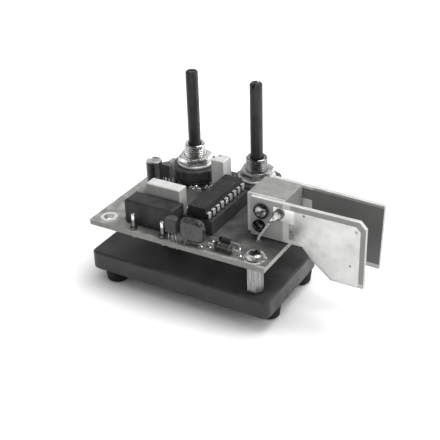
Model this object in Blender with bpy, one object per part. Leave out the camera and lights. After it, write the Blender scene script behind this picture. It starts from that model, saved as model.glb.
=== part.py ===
"""Touch paddle key: a keyer board with two touch plates and two long-shaft controls,
carried on hexagonal standoffs by a heavy base with rubber feet.

Every size is in metres. The board's front left corner, at its top face, is the layout's
origin: x runs to the right, y to the back and z up. From the board's right edge, each part
stands a named clearance from its neighbour: the screw and the front row, and the block, chip,
relay and film capacitor. The controls and the parts round them stand from the left edge. An
empty carries the finished key, so that its origin lies on the desk at the middle of its own
bounding box.
"""

import math

import bmesh
import bpy
from mathutils import Vector

# Clearances
SEAT_GAP = 0.0003
THREAD_GAP = 0.0002
RUN_GAP = 0.0002
HOLE_CLEARANCE = 0.00015
CUT_OVERRUN = 0.0006
WELD_OVERRUN = 0.0003

# Circuit board
BOARD_WIDTH = 0.0610
BOARD_DEPTH = 0.0483
BOARD_THICKNESS = 0.0016
BOARD_CORNER = 0.0004
HOLE_INSET = 0.0044
MOUNT_HOLE_RADIUS = 0.0017
LEFT_SUPPORT = (0.0150, 0.0240)
RIGHT_SUPPORT_REACH = 0.0050
RIGHT_SUPPORT_Y = 0.0040
REAR_SUPPORT_CLEARANCE = 0.0008
REAR_SUPPORT_Y = 0.0291

# Standoffs and their screws
SUPPORT_HEIGHT = 0.0095
STANDOFF_FLATS = 0.00476
STANDOFF_CHAMFER = 0.00025
SCREW_RADIUS = 0.0014
PAN_HEAD_RADIUS = 0.0028
PAN_HEAD_SIDE = 0.0007
PAN_HEAD_CROWN = 0.0008
PAN_SHOULDER_SHARES = (0.84, 0.60)
PAN_TOP_SHARE = 0.50
CROSS_LENGTH = 0.0034
CROSS_WIDTH = 0.0007
CROSS_DEPTH = 0.0010
SCREW_BITE = 0.0032
COUNTERSINK_RADIUS = 0.0029
COUNTERSINK_DEPTH = 0.0015

# Base and feet
BASE_OVERHANG = 0.0013
BASE_DEPTH = 0.0338
BASE_THICKNESS = 0.0064
BASE_CORNER = 0.0020
BASE_EDGE = 0.0005
BASE_LEFT = -0.0004
BASE_FRONT = -0.0006
FOOT_RADIUS = 0.0038
FOOT_RISE = 0.0044
FRONT_LEFT_FOOT = (0.0064, 0.0046)
FRONT_RIGHT_FOOT = (0.0042, 0.0090)
REAR_LEFT_FOOT = (0.0058, 0.0045)
REAR_RIGHT_FOOT = (0.0039, 0.0041)
FOOT_TAPER = 0.0004
FOOT_ROUND = 0.00055
FOOT_DIMPLE_RADIUS = 0.0013
FOOT_DIMPLE_DEPTH = 0.0007

# Insulating block
BLOCK_WIDTH = 0.0124
BLOCK_DEPTH = 0.0114
BLOCK_HEIGHT = 0.0131
BLOCK_EDGE = 0.00025
BLOCK_REACH = 0.0140
BLOCK_FRONT = 0.0164

# Touch plates
PLATE_THICKNESS = 0.0014
PLATE_SETBACK = 0.0019
PLATE_LENGTH = 0.0362
PLATE_TOP = 0.01315
PLATE_LIFT = 0.0005
PLATE_DROP = 0.0083
PLATE_HAUNCH = 0.0168
PLATE_KNEE = 0.0212
PLATE_KNEE_DROP = 0.0043
PLATE_BLADE = 0.0261
FRONT_PLATE_CHAMFER = 0.0020
REAR_PLATE_CHAMFER = 0.0003
REAR_PLATE_SAG = math.radians(1.7)
PLATE_PIVOT = (0.0034, 0.0068)
FOIL_THICKNESS = 0.00010
FOIL_MARGIN = 0.0015
FOIL_START = 0.0127
FOIL_NECK_LENGTH = 0.0052
FOIL_NECK_LOW = 0.0075
FOIL_SLOPE_SHARE = 0.6
FOIL_CHAMFER_SHARE = 0.7

# Plate screws, contact studs and touch wires
PLATE_SCREW_RADIUS = 0.0014
SLOT_HEAD_RADIUS = 0.0024
SLOT_HEAD_SIDE = 0.0007
SLOT_HEAD_CROWN = 0.0005
SLOT_WIDTH = 0.0006
SLOT_DEPTH = 0.0007
SLOT_CROWN_SHARE = 0.6
SLOT_CUT_SHARE = 2.4
UPPER_SLOT_TURN = 0.5
LOWER_SLOT_TURN = -0.9
PLATE_SCREW_BITE = 0.0040
UPPER_SCREW = (0.0038, 0.0094)
LOWER_SCREW = (0.0031, 0.0043)
LOWER_HEAD_RADIUS = 0.0020
STUD = (0.0093, 0.0095)
STUD_RADIUS = 0.0006
STUD_HEAD_RADIUS = 0.0016
STUD_HEAD_SIDE = 0.0007
STUD_TIP_RADIUS = 0.0008
STUD_TIP_HEIGHT = 0.0011
WIRE_RADIUS = 0.0004
WIRE_OFFSET = 0.0019
WIRE_FOOT_X = 0.0036
WIRE_ELBOW_HEIGHT = 0.0010

# Chip and its socket
PIN_PITCH = 0.00254
PINS_PER_SIDE = 9
ROW_SPACING = 0.00762
CHIP_CLEARANCE = 0.00812
CHIP_Y = 0.0203
CHIP_WIDTH = 0.00635
CHIP_THICKNESS = 0.0033
CHIP_DRAFT = 0.00025
CHIP_LIFT = 0.00055
CHIP_NOTCH_RADIUS = 0.0010
CHIP_NOTCH_DEPTH = 0.0006
LEAD_THICKNESS = 0.00026
LEAD_WIDTH = 0.0014
LEAD_TIP_WIDTH = 0.0005
LEAD_ROOT = 0.0006
LEAD_WIDE_DROP = 0.0017
LEAD_TAPER = 0.0003
LEAD_TIP_LENGTH = 0.0028
SOCKET_WIDTH = 0.01016
SOCKET_HEIGHT = 0.0043
SOCKET_LIFT = 0.0003
SOCKET_WINDOW_WIDTH = 0.0040
SOCKET_BRIDGE = 0.0024
SOCKET_WINDOWS = 2
POCKET_LENGTH = 0.0010
POCKET_WIDTH = 0.0009
POCKET_DEPTH = 0.0033
TAIL_RADIUS = 0.00026
LEAD_BELOW = 0.0012

# Boxed parts: reed relay and two film capacitors, each with its leads along x or y
RELAY_SIZE = (0.0171, 0.0064, 0.0078)
RELAY_CLEARANCE = 0.0003
RELAY_Y = 0.00695
RELAY_EDGE = 0.0004
RELAY_LEADS = (-0.00762, -0.00254, 0.00254, 0.00762)
FILM_SIZE = (0.0119, 0.0041, 0.0111)
FILM_STAGGER = 0.00095
FILM_CLEARANCE = 0.0004
FILM_EDGE = 0.0003
FILM_LEADS = (-0.0050, 0.0050)
WHITE_SIZE = (0.0044, 0.0050, 0.0110)
WHITE_STAGGER = (0.0008, -0.0042)
WHITE_CLEARANCE = 0.0013
WHITE_EDGE = 0.0003
WHITE_LEADS = (-0.0013, 0.0013)
BOX_LIFT = 0.0003
BOX_LEAD_RADIUS = 0.0003

# Electrolytic capacitor
CAN_OFFSET = (-0.0065, -0.0147)
CAN_RADIUS = 0.0026
CAN_HEIGHT = 0.0108
CAN_EDGE = 0.0004
CAN_GROOVE_RISE = 0.0013
CAN_GROOVE_WIDTH = 0.0009
CAN_GROOVE_DEPTH = 0.0003
CAN_TOP_RIM = 0.0006
CAN_TOP_RECESS = 0.0002
CAN_CURL_SHARE = 0.7
CAN_LEADS = (-0.0010, 0.0010)

# Transistors
TRANSISTOR_RADIUS = 0.0020
TRANSISTOR_FLAT = 0.0010
TRANSISTOR_HEIGHT = 0.0045
TRANSISTOR_LIFT = 0.0030
TRANSISTOR_EDGE = 0.0002
TRANSISTOR_PITCH = 0.00127
TRANSISTOR_LEAD_RADIUS = 0.00025
REAR_TRANSISTOR_OFFSET = (-0.0053, -0.0094)
TRANSISTOR_CLEARANCE = 0.0004
FRONT_TRANSISTOR_Y = 0.0014

# Dipped capacitor
DIPPED_WIDTH = 0.0086
DIPPED_HEIGHT = 0.0077
DIPPED_THICKNESS = 0.0028
DIPPED_CORNER = 0.0024
DIPPED_ROUND = 0.0011
DIPPED_LIFT = 0.0010
DIPPED_DEPTH_SHARES = (-0.5, -0.32, 0.0, 0.32, 0.5)
DIPPED_INSET_SHARES = (1.0, 0.35, 0.0, 0.35, 1.0)
DIPPED_CLEARANCE = 0.0007
DIPPED_Y = 0.0021
DIPPED_LEADS = (-0.0025, 0.0025)

# Diode and resistor
AXIAL_LEAD_RADIUS = 0.00027
AXIAL_LIFT = 0.0003
DIODE_LENGTH = 0.0044
DIODE_RADIUS = 0.0010
DIODE_ROUND = 0.0004
DIODE_SPAN = 0.0092
DIODE_STAGGER = 0.0015
DIODE_CLEARANCE = 0.0012
RESISTOR_LENGTH = 0.0062
RESISTOR_RADIUS = 0.0012
RESISTOR_WAIST = 0.0010
RESISTOR_END = 0.0014
RESISTOR_ROUND = 0.0003
RESISTOR_SPAN = 0.0102
RESISTOR_CLEARANCE = 0.0016
RESISTOR_Y = 0.0029

# Terminal pins
TERMINAL_RADIUS = 0.0006
TERMINAL_COLLAR_RADIUS = 0.0011
TERMINAL_COLLAR_HEIGHT = 0.0006
TERMINAL_LIFT = 0.0002
TERMINAL_HEIGHT = 0.0052
TERMINAL_TIP = 0.0003
TERMINAL_CLEARANCE = 0.0005
TERMINAL_SPACING = 0.0104
TERMINAL_Y = 0.0016

# Controls
CONTROL_CLEARANCE = 0.00037
LEFT_CONTROL_X = 0.0145
LEFT_CONTROL_TURN = math.radians(30)
RIGHT_CONTROL_TURN = math.radians(90)
CONTROL_RADIUS = 0.0080
WAFER_LIFT = 0.0004
WAFER_THICKNESS = 0.0010
CASE_HEIGHT = 0.0035
CASE_WALL = 0.0009
CASE_CROWN = 0.0008
CASE_EDGE = 0.0004
RIB_COUNT = 4
RIB_WIDTH = 0.0026
RIB_THICKNESS = 0.0004
BUSHING_RADIUS = 0.0035
BUSHING_LENGTH = 0.0072
BUSHING_CHAMFER = 0.0004
BUSHING_RELIEF = 0.0003
FLANGE_RADIUS = 0.0050
FLANGE_THICKNESS = 0.0006
SHAFT_RADIUS = 0.0020
SHAFT_REACH = 0.0250
SHAFT_TIP_HEIGHT = 0.0005
SHAFT_TIP_RADIUS = 0.0016
SHAFT_SLOT_WIDTH = 0.0008
SHAFT_SLOT_DEPTH = 0.0016
SHAFT_SLOT_SHARE = 2.4
WASHER_RADIUS = 0.0060
WASHER_THICKNESS = 0.0005
NUT_FLATS = 0.0100
NUT_THICKNESS = 0.0020
NUT_CHAMFER = 0.0003
NUT_TURN = math.radians(12)
ROTOR_RADIUS = 0.0055
ROTOR_THICKNESS = 0.0009
WIPER_LENGTH = 0.0046
WIPER_WIDTH = 0.0020
WIPER_THICKNESS = 0.00025
WIPER_DIP = 0.0003
WAFER_BORE_RADIUS = 0.0010
LUG_PITCH = 0.0050
LUG_WIDTH = 0.0012
LUG_THICKNESS = 0.0004
LUG_REACH = 0.0011
LUG_ROOT = 0.0012

# Facets round a full turn, and steps round a corner
FINE_SIDES = 32
ROUND_SIDES = 24
SMALL_SIDES = 12
LEAD_SIDES = 6
CORNER_STEPS = 3

# Finishes: grey level, roughness and metallic
HELPER = ((0.5, 0.5, 0.5), 0.5, 0.0)
BLACK_PAINT = ((0.030, 0.031, 0.033), 0.45, 0.0)
BLACK_RUBBER = ((0.020, 0.020, 0.020), 0.80, 0.0)
PLATED_STEEL = ((0.62, 0.62, 0.62), 0.28, 1.0)
ZINC = ((0.55, 0.56, 0.57), 0.32, 1.0)
BOARD_LAMINATE = ((0.13, 0.15, 0.13), 0.30, 0.0)
BLACK_MOULDING = ((0.022, 0.022, 0.024), 0.42, 0.0)
SATIN_BLACK = ((0.030, 0.030, 0.032), 0.30, 0.0)
GREY_FILM = ((0.62, 0.62, 0.60), 0.35, 0.0)
WHITE_FILM = ((0.78, 0.78, 0.76), 0.38, 0.0)
CAN_SLEEVE = ((0.045, 0.048, 0.060), 0.25, 0.0)
DARK_DIP = ((0.110, 0.080, 0.050), 0.22, 0.0)
CLEAR_RED = ((0.300, 0.120, 0.060), 0.10, 0.0)
DARK_RESISTOR = ((0.060, 0.070, 0.090), 0.35, 0.0)
TINNED = ((0.74, 0.74, 0.72), 0.25, 1.0)
TOUCH_LAMINATE = ((0.50, 0.50, 0.46), 0.35, 0.0)
GREY_BLOCK = ((0.36, 0.36, 0.35), 0.50, 0.0)
PHENOLIC = ((0.180, 0.110, 0.060), 0.60, 0.0)
SPRING_BRASS = ((0.70, 0.52, 0.25), 0.30, 1.0)

# Heights and places worked out from the sizes above
BOARD_UNDERSIDE = -BOARD_THICKNESS
BASE_TOP = BOARD_UNDERSIDE - SUPPORT_HEIGHT
BASE_UNDERSIDE = BASE_TOP - BASE_THICKNESS
DESK = BASE_UNDERSIDE - FOOT_RISE
STANDOFF_FOOT = BASE_TOP + SEAT_GAP
STANDOFF_LENGTH = SUPPORT_HEIGHT - 2 * SEAT_GAP
FOOT_HEIGHT = FOOT_RISE - SEAT_GAP
BASE_WIDTH = BOARD_WIDTH + BASE_OVERHANG - BASE_LEFT
BASE_CENTRE = (BASE_LEFT + BASE_WIDTH / 2, BASE_FRONT + BASE_DEPTH / 2)
BLOCK_LEFT = BOARD_WIDTH - BLOCK_REACH
PLATE_LEFT = BLOCK_LEFT + PLATE_SETBACK
FRONT_PLATE_SEAT = BLOCK_FRONT - SEAT_GAP
REAR_PLATE_SEAT = BLOCK_FRONT + BLOCK_DEPTH + SEAT_GAP
SOCKET_TOP = SOCKET_LIFT + SOCKET_HEIGHT
CHIP_LOW = SOCKET_TOP + CHIP_LIFT
CHIP_LENGTH = PINS_PER_SIDE * PIN_PITCH
WAFER_TOP = WAFER_LIFT + WAFER_THICKNESS
CASE_LOW = WAFER_TOP + RUN_GAP
CASE_TOP = CASE_LOW + CASE_HEIGHT
FLANGE_TOP = CASE_TOP - CASE_CROWN - RUN_GAP
FLANGE_LOW = FLANGE_TOP - FLANGE_THICKNESS
BUSHING_TOP = CASE_TOP + BUSHING_LENGTH
ROTOR_TOP = FLANGE_LOW - RUN_GAP
ROTOR_LOW = ROTOR_TOP - ROTOR_THICKNESS

# Places along the block, the chip and the relay, from right to left
CHIP_CENTRE = (BLOCK_LEFT - CHIP_CLEARANCE - SOCKET_WIDTH / 2, CHIP_Y)
RELAY_RIGHT = CHIP_CENTRE[0] - SOCKET_WIDTH / 2 - RELAY_CLEARANCE
RELAY_CENTRE = (RELAY_RIGHT - RELAY_SIZE[0] / 2, RELAY_Y)
FILM_CENTRE = (RELAY_CENTRE[0] + FILM_STAGGER,
               RELAY_Y + RELAY_SIZE[1] / 2 + FILM_CLEARANCE + FILM_SIZE[1] / 2)

# Places along the front edge, from right to left
RIGHT_SUPPORT = (BOARD_WIDTH - RIGHT_SUPPORT_REACH, RIGHT_SUPPORT_Y)
RESISTOR_RIGHT = RIGHT_SUPPORT[0] - PAN_HEAD_RADIUS - RESISTOR_CLEARANCE
RESISTOR_CENTRE = (RESISTOR_RIGHT - RESISTOR_SPAN / 2, RESISTOR_Y)
DIODE_CENTRE = (RESISTOR_CENTRE[0] - DIODE_STAGGER,
                RESISTOR_Y + RESISTOR_RADIUS + DIODE_CLEARANCE + DIODE_RADIUS)
DIPPED_RIGHT = RESISTOR_CENTRE[0] - RESISTOR_SPAN / 2 - DIPPED_CLEARANCE
DIPPED_CENTRE = (DIPPED_RIGHT - DIPPED_WIDTH / 2, DIPPED_Y)
TRANSISTOR_RIGHT = DIPPED_CENTRE[0] - DIPPED_WIDTH / 2 - TRANSISTOR_CLEARANCE
FRONT_TRANSISTOR = (TRANSISTOR_RIGHT - TRANSISTOR_RADIUS, FRONT_TRANSISTOR_Y)
COLLAR_RIGHT = FRONT_TRANSISTOR[0] - TRANSISTOR_RADIUS - TERMINAL_CLEARANCE
TERMINAL_RIGHT = (COLLAR_RIGHT - TERMINAL_COLLAR_RADIUS, TERMINAL_Y)
TERMINAL_LEFT = (TERMINAL_RIGHT[0] - TERMINAL_SPACING, TERMINAL_Y)

# Places of the controls and of the parts round them
CONTROL_Y = CHIP_Y + CHIP_LENGTH / 2 + CONTROL_CLEARANCE + CONTROL_RADIUS
WHITE_LEFT = LEFT_CONTROL_X + CONTROL_RADIUS + WHITE_CLEARANCE
RIGHT_CONTROL_X = WHITE_LEFT + WHITE_SIZE[0] + WHITE_CLEARANCE + CONTROL_RADIUS
WHITE_CENTRE = (WHITE_LEFT + WHITE_SIZE[0] / 2 + WHITE_STAGGER[0], CONTROL_Y + WHITE_STAGGER[1])
CAN_CENTRE = (LEFT_CONTROL_X + CAN_OFFSET[0], CONTROL_Y + CAN_OFFSET[1])
REAR_TRANSISTOR = (LEFT_CONTROL_X + REAR_TRANSISTOR_OFFSET[0],
                   CONTROL_Y + REAR_TRANSISTOR_OFFSET[1])

SUPPORTS = {
    "front_right": RIGHT_SUPPORT,
    "left": LEFT_SUPPORT,
    "rear": (BLOCK_LEFT - REAR_SUPPORT_CLEARANCE - PAN_HEAD_RADIUS, REAR_SUPPORT_Y),
}
BARE_HOLE = (HOLE_INSET, HOLE_INSET)
FEET = {
    "front_left": (BASE_LEFT + FRONT_LEFT_FOOT[0], BASE_FRONT + FRONT_LEFT_FOOT[1]),
    "front_right": (BASE_LEFT + BASE_WIDTH - FRONT_RIGHT_FOOT[0], BASE_FRONT + FRONT_RIGHT_FOOT[1]),
    "rear_left": (BASE_LEFT + REAR_LEFT_FOOT[0], BASE_FRONT + BASE_DEPTH - REAR_LEFT_FOOT[1]),
    "rear_right": (BASE_LEFT + BASE_WIDTH - REAR_RIGHT_FOOT[0],
                   BASE_FRONT + BASE_DEPTH - REAR_RIGHT_FOOT[1]),
}
FACE_FRONT = (math.pi / 2, 0.0, 0.0)
FACE_REAR = (-math.pi / 2, 0.0, 0.0)
NO_TURN = (0.0, 0.0, 0.0)

board_holes = []


def material(name, finish):
    """Make one object's own Principled material."""
    colour, roughness, metallic = finish
    made = bpy.data.materials.new(name)
    made.use_nodes = True
    shader = made.node_tree.nodes["Principled BSDF"]
    shader.inputs["Base Color"].default_value = (*colour, 1.0)
    shader.inputs["Roughness"].default_value = roughness
    shader.inputs["Metallic"].default_value = metallic
    return made


def empty(name, location, parent=None, turn=0.0):
    """Add an empty that carries other objects."""
    carrier = bpy.data.objects.new(name, None)
    carrier.location = location
    carrier.rotation_euler = (0.0, 0.0, turn)
    carrier.parent = parent
    bpy.context.scene.collection.objects.link(carrier)
    return carrier


def solid(name, bm, finish, location, parent, rotation=NO_TURN):
    """Turn a bmesh into a named object with its own material."""
    bmesh.ops.recalc_face_normals(bm, faces=bm.faces)
    mesh = bpy.data.meshes.new(name)
    bm.to_mesh(mesh)
    bm.free()
    mesh.shade_smooth()
    mesh.set_sharp_from_angle(angle=math.radians(35))
    mesh.materials.append(material(name, finish))
    thing = bpy.data.objects.new(name, mesh)
    thing.location = location
    thing.rotation_euler = rotation
    thing.parent = parent
    bpy.context.scene.collection.objects.link(thing)
    return thing


def combine(target, bm, operation, label):
    """Apply a hidden helper to an object: cut it away or weld it on."""
    name = target.name + "_" + label
    helper = solid(name, bm, HELPER, target.location, target.parent, target.rotation_euler)
    helper.hide_render = True
    helper.display_type = "WIRE"
    change = target.modifiers.new(label, "BOOLEAN")
    change.operation = operation
    change.solver = "EXACT"
    change.object = helper


def cut(target, bm, label="cutter"):
    combine(target, bm, "DIFFERENCE", label)


def weld(target, bm, label="addition"):
    combine(target, bm, "UNION", label)


def arc(radius, start, end, steps, centre=(0.0, 0.0)):
    """Points along an arc, both ends included."""
    points = []
    for step in range(steps + 1):
        angle = start + (end - start) * step / steps
        points.append((centre[0] + radius * math.cos(angle), centre[1] + radius * math.sin(angle)))
    return points


def circle(radius, sides, centre=(0.0, 0.0)):
    return arc(radius, 0.0, math.tau, sides, centre)[:-1]


def hexagon(flats, turn=0.0):
    """Outline of a hexagon by its width across flats."""
    return arc(flats / math.sqrt(3.0), turn, turn + math.tau, 6)[:-1]


def rectangle(width, depth, centre=(0.0, 0.0), turn=0.0):
    """Outline of a rectangle, turned about the middle."""
    points = []
    for side_x, side_y in ((-1, -1), (1, -1), (1, 1), (-1, 1)):
        x = side_x * width / 2
        y = side_y * depth / 2
        points.append((centre[0] + x * math.cos(turn) - y * math.sin(turn),
                       centre[1] + x * math.sin(turn) + y * math.cos(turn)))
    return points


def rounded_rectangle(width, depth, radius):
    """Outline of a rectangle with round corners."""
    points = []
    for quarter, (side_x, side_y) in enumerate(((1, 1), (-1, 1), (-1, -1), (1, -1))):
        centre = (side_x * (width / 2 - radius), side_y * (depth / 2 - radius))
        start = quarter * math.pi / 2
        points += arc(radius, start, start + math.pi / 2, CORNER_STEPS, centre)
    return points


def cross(length, width):
    """Outline of a plus sign."""
    near = width / 2
    far = length / 2
    return [(near, near), (near, far), (-near, far), (-near, near), (-far, near), (-far, -near),
            (-near, -near), (-near, -far), (near, -far), (near, -near), (far, -near), (far, near)]


def skin(bm, rings):
    """Join a row of equal rings and cap both ends."""
    for first, second in zip(rings, rings[1:]):
        count = len(first)
        for side in range(count):
            following = (side + 1) % count
            bm.faces.new((first[side], first[following], second[following], second[side]))
    bm.faces.new(reversed(rings[0]))
    bm.faces.new(rings[-1])


def add_layers(bm, stack):
    """Skin a stack of outlines, each given with its height."""
    skin(bm, [[bm.verts.new((x, y, height)) for x, y in outline] for outline, height in stack])


def layers(stack):
    bm = bmesh.new()
    add_layers(bm, stack)
    return bm


def prism(outline, low, high):
    return layers([(outline, low), (outline, high)])


def turned(profile, sides):
    """Turn a profile of radius and height into a solid with flat ends."""
    return layers([(circle(radius, sides), height) for radius, height in profile])


def ring(profile, sides):
    """Turn a closed loop of radius and height into a ring with a bore."""
    bm = bmesh.new()
    columns = []
    for side in range(sides):
        angle = math.tau * side / sides
        columns.append([bm.verts.new((radius * math.cos(angle), radius * math.sin(angle), height))
                        for radius, height in profile])
    for side in range(sides):
        here = columns[side]
        there = columns[(side + 1) % sides]
        for step in range(len(profile)):
            following = (step + 1) % len(profile)
            bm.faces.new((here[step], there[step], there[following], here[following]))
    return bm


def add_sweep(bm, points, sections, normal):
    """Sweep sections along a bent path that lies square to the given normal, mitred at bends."""
    path = [Vector(point) for point in points]
    across = Vector(normal)
    rings = []
    for index, point in enumerate(path):
        before = (path[max(index, 1)] - path[max(index, 1) - 1]).normalized()
        after = (path[min(index + 1, len(path) - 1)] - path[min(index, len(path) - 2)]).normalized()
        mitre = (before + after).normalized()
        side = before.cross(across)
        section = sections[index] if isinstance(sections[0], list) else sections
        corners = []
        for wide, thick in section:
            offset = across * wide + side * thick
            offset -= before * (offset.dot(mitre) / before.dot(mitre))
            corners.append(bm.verts.new(point + offset))
        rings.append(corners)
    skin(bm, rings)


def add_lead(bm, x, y, low, high, radius, sides=LEAD_SIDES):
    add_layers(bm, [(circle(radius, sides, (x, y)), low), (circle(radius, sides, (x, y)), high)])


def drill(centre, points, radius):
    """Note holes in the board for leads that stand at the given points round a centre."""
    for x, y in points:
        board_holes.append((centre[0] + x, centre[1] + y, radius + HOLE_CLEARANCE, LEAD_SIDES))


def base_and_feet(key):
    """Heavy slab, countersunk from below for its screws, on four rubber feet."""
    outline = [rounded_rectangle(BASE_WIDTH - 2 * inset, BASE_DEPTH - 2 * inset, BASE_CORNER - inset)
               for inset in (BASE_EDGE, 0.0)]
    stack = [(outline[0], BASE_UNDERSIDE), (outline[1], BASE_UNDERSIDE + BASE_EDGE),
             (outline[1], BASE_TOP - BASE_EDGE), (outline[0], BASE_TOP)]
    base = solid("base_block", layers(stack), BLACK_PAINT, (*BASE_CENTRE, 0.0), key)
    holes = bmesh.new()
    for x, y in SUPPORTS.values():
        place = (x - BASE_CENTRE[0], y - BASE_CENTRE[1])
        bore = SCREW_RADIUS + THREAD_GAP
        wide = COUNTERSINK_RADIUS + THREAD_GAP
        flare = BASE_UNDERSIDE + SEAT_GAP
        add_layers(holes, [(circle(wide, SMALL_SIDES, place), BASE_UNDERSIDE - CUT_OVERRUN),
                           (circle(wide, SMALL_SIDES, place), flare),
                           (circle(bore, SMALL_SIDES, place), flare + COUNTERSINK_DEPTH),
                           (circle(bore, SMALL_SIDES, place), BASE_TOP + CUT_OVERRUN)])
    cut(base, holes)

    top = FOOT_HEIGHT
    profile = [(FOOT_RADIUS - FOOT_TAPER - FOOT_ROUND, 0.0), (FOOT_RADIUS - FOOT_TAPER, FOOT_ROUND),
               (FOOT_RADIUS, top)]
    for label, (x, y) in FEET.items():
        foot = solid("foot_" + label, turned(profile, ROUND_SIDES), BLACK_RUBBER, (x, y, DESK), key)
        dimple = turned([(FOOT_DIMPLE_RADIUS, -CUT_OVERRUN), (FOOT_DIMPLE_RADIUS, FOOT_DIMPLE_DEPTH)],
                        SMALL_SIDES)
        cut(foot, dimple)


def supports(key):
    """Hexagonal standoffs, each with a pan screw above and a countersunk screw below."""
    for label, (x, y) in SUPPORTS.items():
        small = STANDOFF_FLATS - 2 * STANDOFF_CHAMFER
        stack = [(hexagon(small), 0.0), (hexagon(STANDOFF_FLATS), STANDOFF_CHAMFER),
                 (hexagon(STANDOFF_FLATS), STANDOFF_LENGTH - STANDOFF_CHAMFER),
                 (hexagon(small), STANDOFF_LENGTH)]
        standoff = solid("standoff_" + label, layers(stack), PLATED_STEEL, (x, y, STANDOFF_FOOT), key)
        cut(standoff, prism(circle(SCREW_RADIUS + THREAD_GAP, SMALL_SIDES), -CUT_OVERRUN,
                            STANDOFF_LENGTH + CUT_OVERRUN))

        shank = SEAT_GAP + BOARD_THICKNESS + SEAT_GAP + SCREW_BITE
        wide, rise = PAN_SHOULDER_SHARES
        profile = [(SCREW_RADIUS, -shank), (SCREW_RADIUS, 0.0), (PAN_HEAD_RADIUS, 0.0),
                   (PAN_HEAD_RADIUS, PAN_HEAD_SIDE),
                   (PAN_HEAD_RADIUS * wide, PAN_HEAD_SIDE + PAN_HEAD_CROWN * rise),
                   (PAN_HEAD_RADIUS * PAN_TOP_SHARE, PAN_HEAD_SIDE + PAN_HEAD_CROWN)]
        screw = solid("board_screw_" + label, turned(profile, ROUND_SIDES), PLATED_STEEL,
                      (x, y, SEAT_GAP), key)
        head = PAN_HEAD_SIDE + PAN_HEAD_CROWN
        cut(screw, prism(cross(CROSS_LENGTH, CROSS_WIDTH), head - CROSS_DEPTH, head + CUT_OVERRUN))

        low = BASE_UNDERSIDE + SEAT_GAP
        length = STANDOFF_FOOT + SCREW_BITE - low
        profile = [(COUNTERSINK_RADIUS, 0.0), (SCREW_RADIUS, COUNTERSINK_DEPTH), (SCREW_RADIUS, length)]
        screw = solid("base_screw_" + label, turned(profile, SMALL_SIDES), PLATED_STEEL, (x, y, low), key)
        cut(screw, prism(cross(CROSS_LENGTH, CROSS_WIDTH), -CUT_OVERRUN, CROSS_DEPTH))


def circuit_board(key):
    """Laminate board with the holes that every lead, pin and screw passes through."""
    outline = rounded_rectangle(BOARD_WIDTH, BOARD_DEPTH, BOARD_CORNER)
    middle = (BOARD_WIDTH / 2, BOARD_DEPTH / 2)
    board = solid("circuit_board", prism(outline, BOARD_UNDERSIDE, 0.0), BOARD_LAMINATE,
                  (*middle, 0.0), key)
    for x, y in (*SUPPORTS.values(), BARE_HOLE):
        board_holes.append((x, y, MOUNT_HOLE_RADIUS, SMALL_SIDES))
    drills = bmesh.new()
    for x, y, radius, sides in board_holes:
        outline = circle(radius, sides, (x - middle[0], y - middle[1]))
        add_layers(drills, [(outline, BOARD_UNDERSIDE - CUT_OVERRUN), (outline, CUT_OVERRUN)])
    cut(board, drills)


def touch_assembly(key):
    """Insulating block with a touch plate, its screws, a contact stud and a wire on each side."""
    inner = rectangle(BLOCK_WIDTH - 2 * BLOCK_EDGE, BLOCK_DEPTH - 2 * BLOCK_EDGE)
    outer = rectangle(BLOCK_WIDTH, BLOCK_DEPTH)
    place = (BLOCK_LEFT + BLOCK_WIDTH / 2, BLOCK_FRONT + BLOCK_DEPTH / 2, SEAT_GAP)
    stack = [(outer, 0.0), (outer, BLOCK_HEIGHT - BLOCK_EDGE), (inner, BLOCK_HEIGHT)]
    block = solid("insulating_block", layers(stack), GREY_BLOCK, place, key)
    for seat, turn, outward, label, chamfer, sag in (
            (FRONT_PLATE_SEAT, FACE_FRONT, -1, "front", FRONT_PLATE_CHAMFER, 0.0),
            (REAR_PLATE_SEAT, FACE_REAR, 1, "rear", REAR_PLATE_CHAMFER, REAR_PLATE_SAG)):
        bore_block(block, place, outward, label)
        touch_plate(key, seat, outward, label, chamfer, sag)
        plate_fasteners(key, seat + outward * PLATE_THICKNESS, turn, outward, label)


def bore_block(block, place, outward, label):
    """Threaded holes for the plate screws and the stud, from one face of the block."""
    depth = SEAT_GAP + PLATE_SCREW_BITE + SEAT_GAP
    bores = bmesh.new()
    for (along, height), radius in ((UPPER_SCREW, PLATE_SCREW_RADIUS), (LOWER_SCREW, PLATE_SCREW_RADIUS),
                                    (STUD, STUD_RADIUS)):
        x = PLATE_LEFT + along - place[0]
        z = height - place[2]
        face = outward * BLOCK_DEPTH / 2
        rim = circle(radius + THREAD_GAP, SMALL_SIDES)
        for_face = [bores.verts.new((x + a, face + outward * CUT_OVERRUN, z + b)) for a, b in rim]
        for_end = [bores.verts.new((x + a, face - outward * depth, z + b)) for a, b in rim]
        skin(bores, [for_face, for_end])
    cut(block, bores, label + "_bores")


def plate_outline(chamfer):
    """Outline of a touch plate as length and height, round its cut-out for the board."""
    length = PLATE_LENGTH
    return [(0.0, PLATE_LIFT), (PLATE_HAUNCH, PLATE_LIFT), (PLATE_KNEE, -PLATE_KNEE_DROP),
            (PLATE_BLADE, -PLATE_DROP), (length, -PLATE_DROP), (length, PLATE_TOP - chamfer),
            (length - chamfer, PLATE_TOP), (0.0, PLATE_TOP)]


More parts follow.
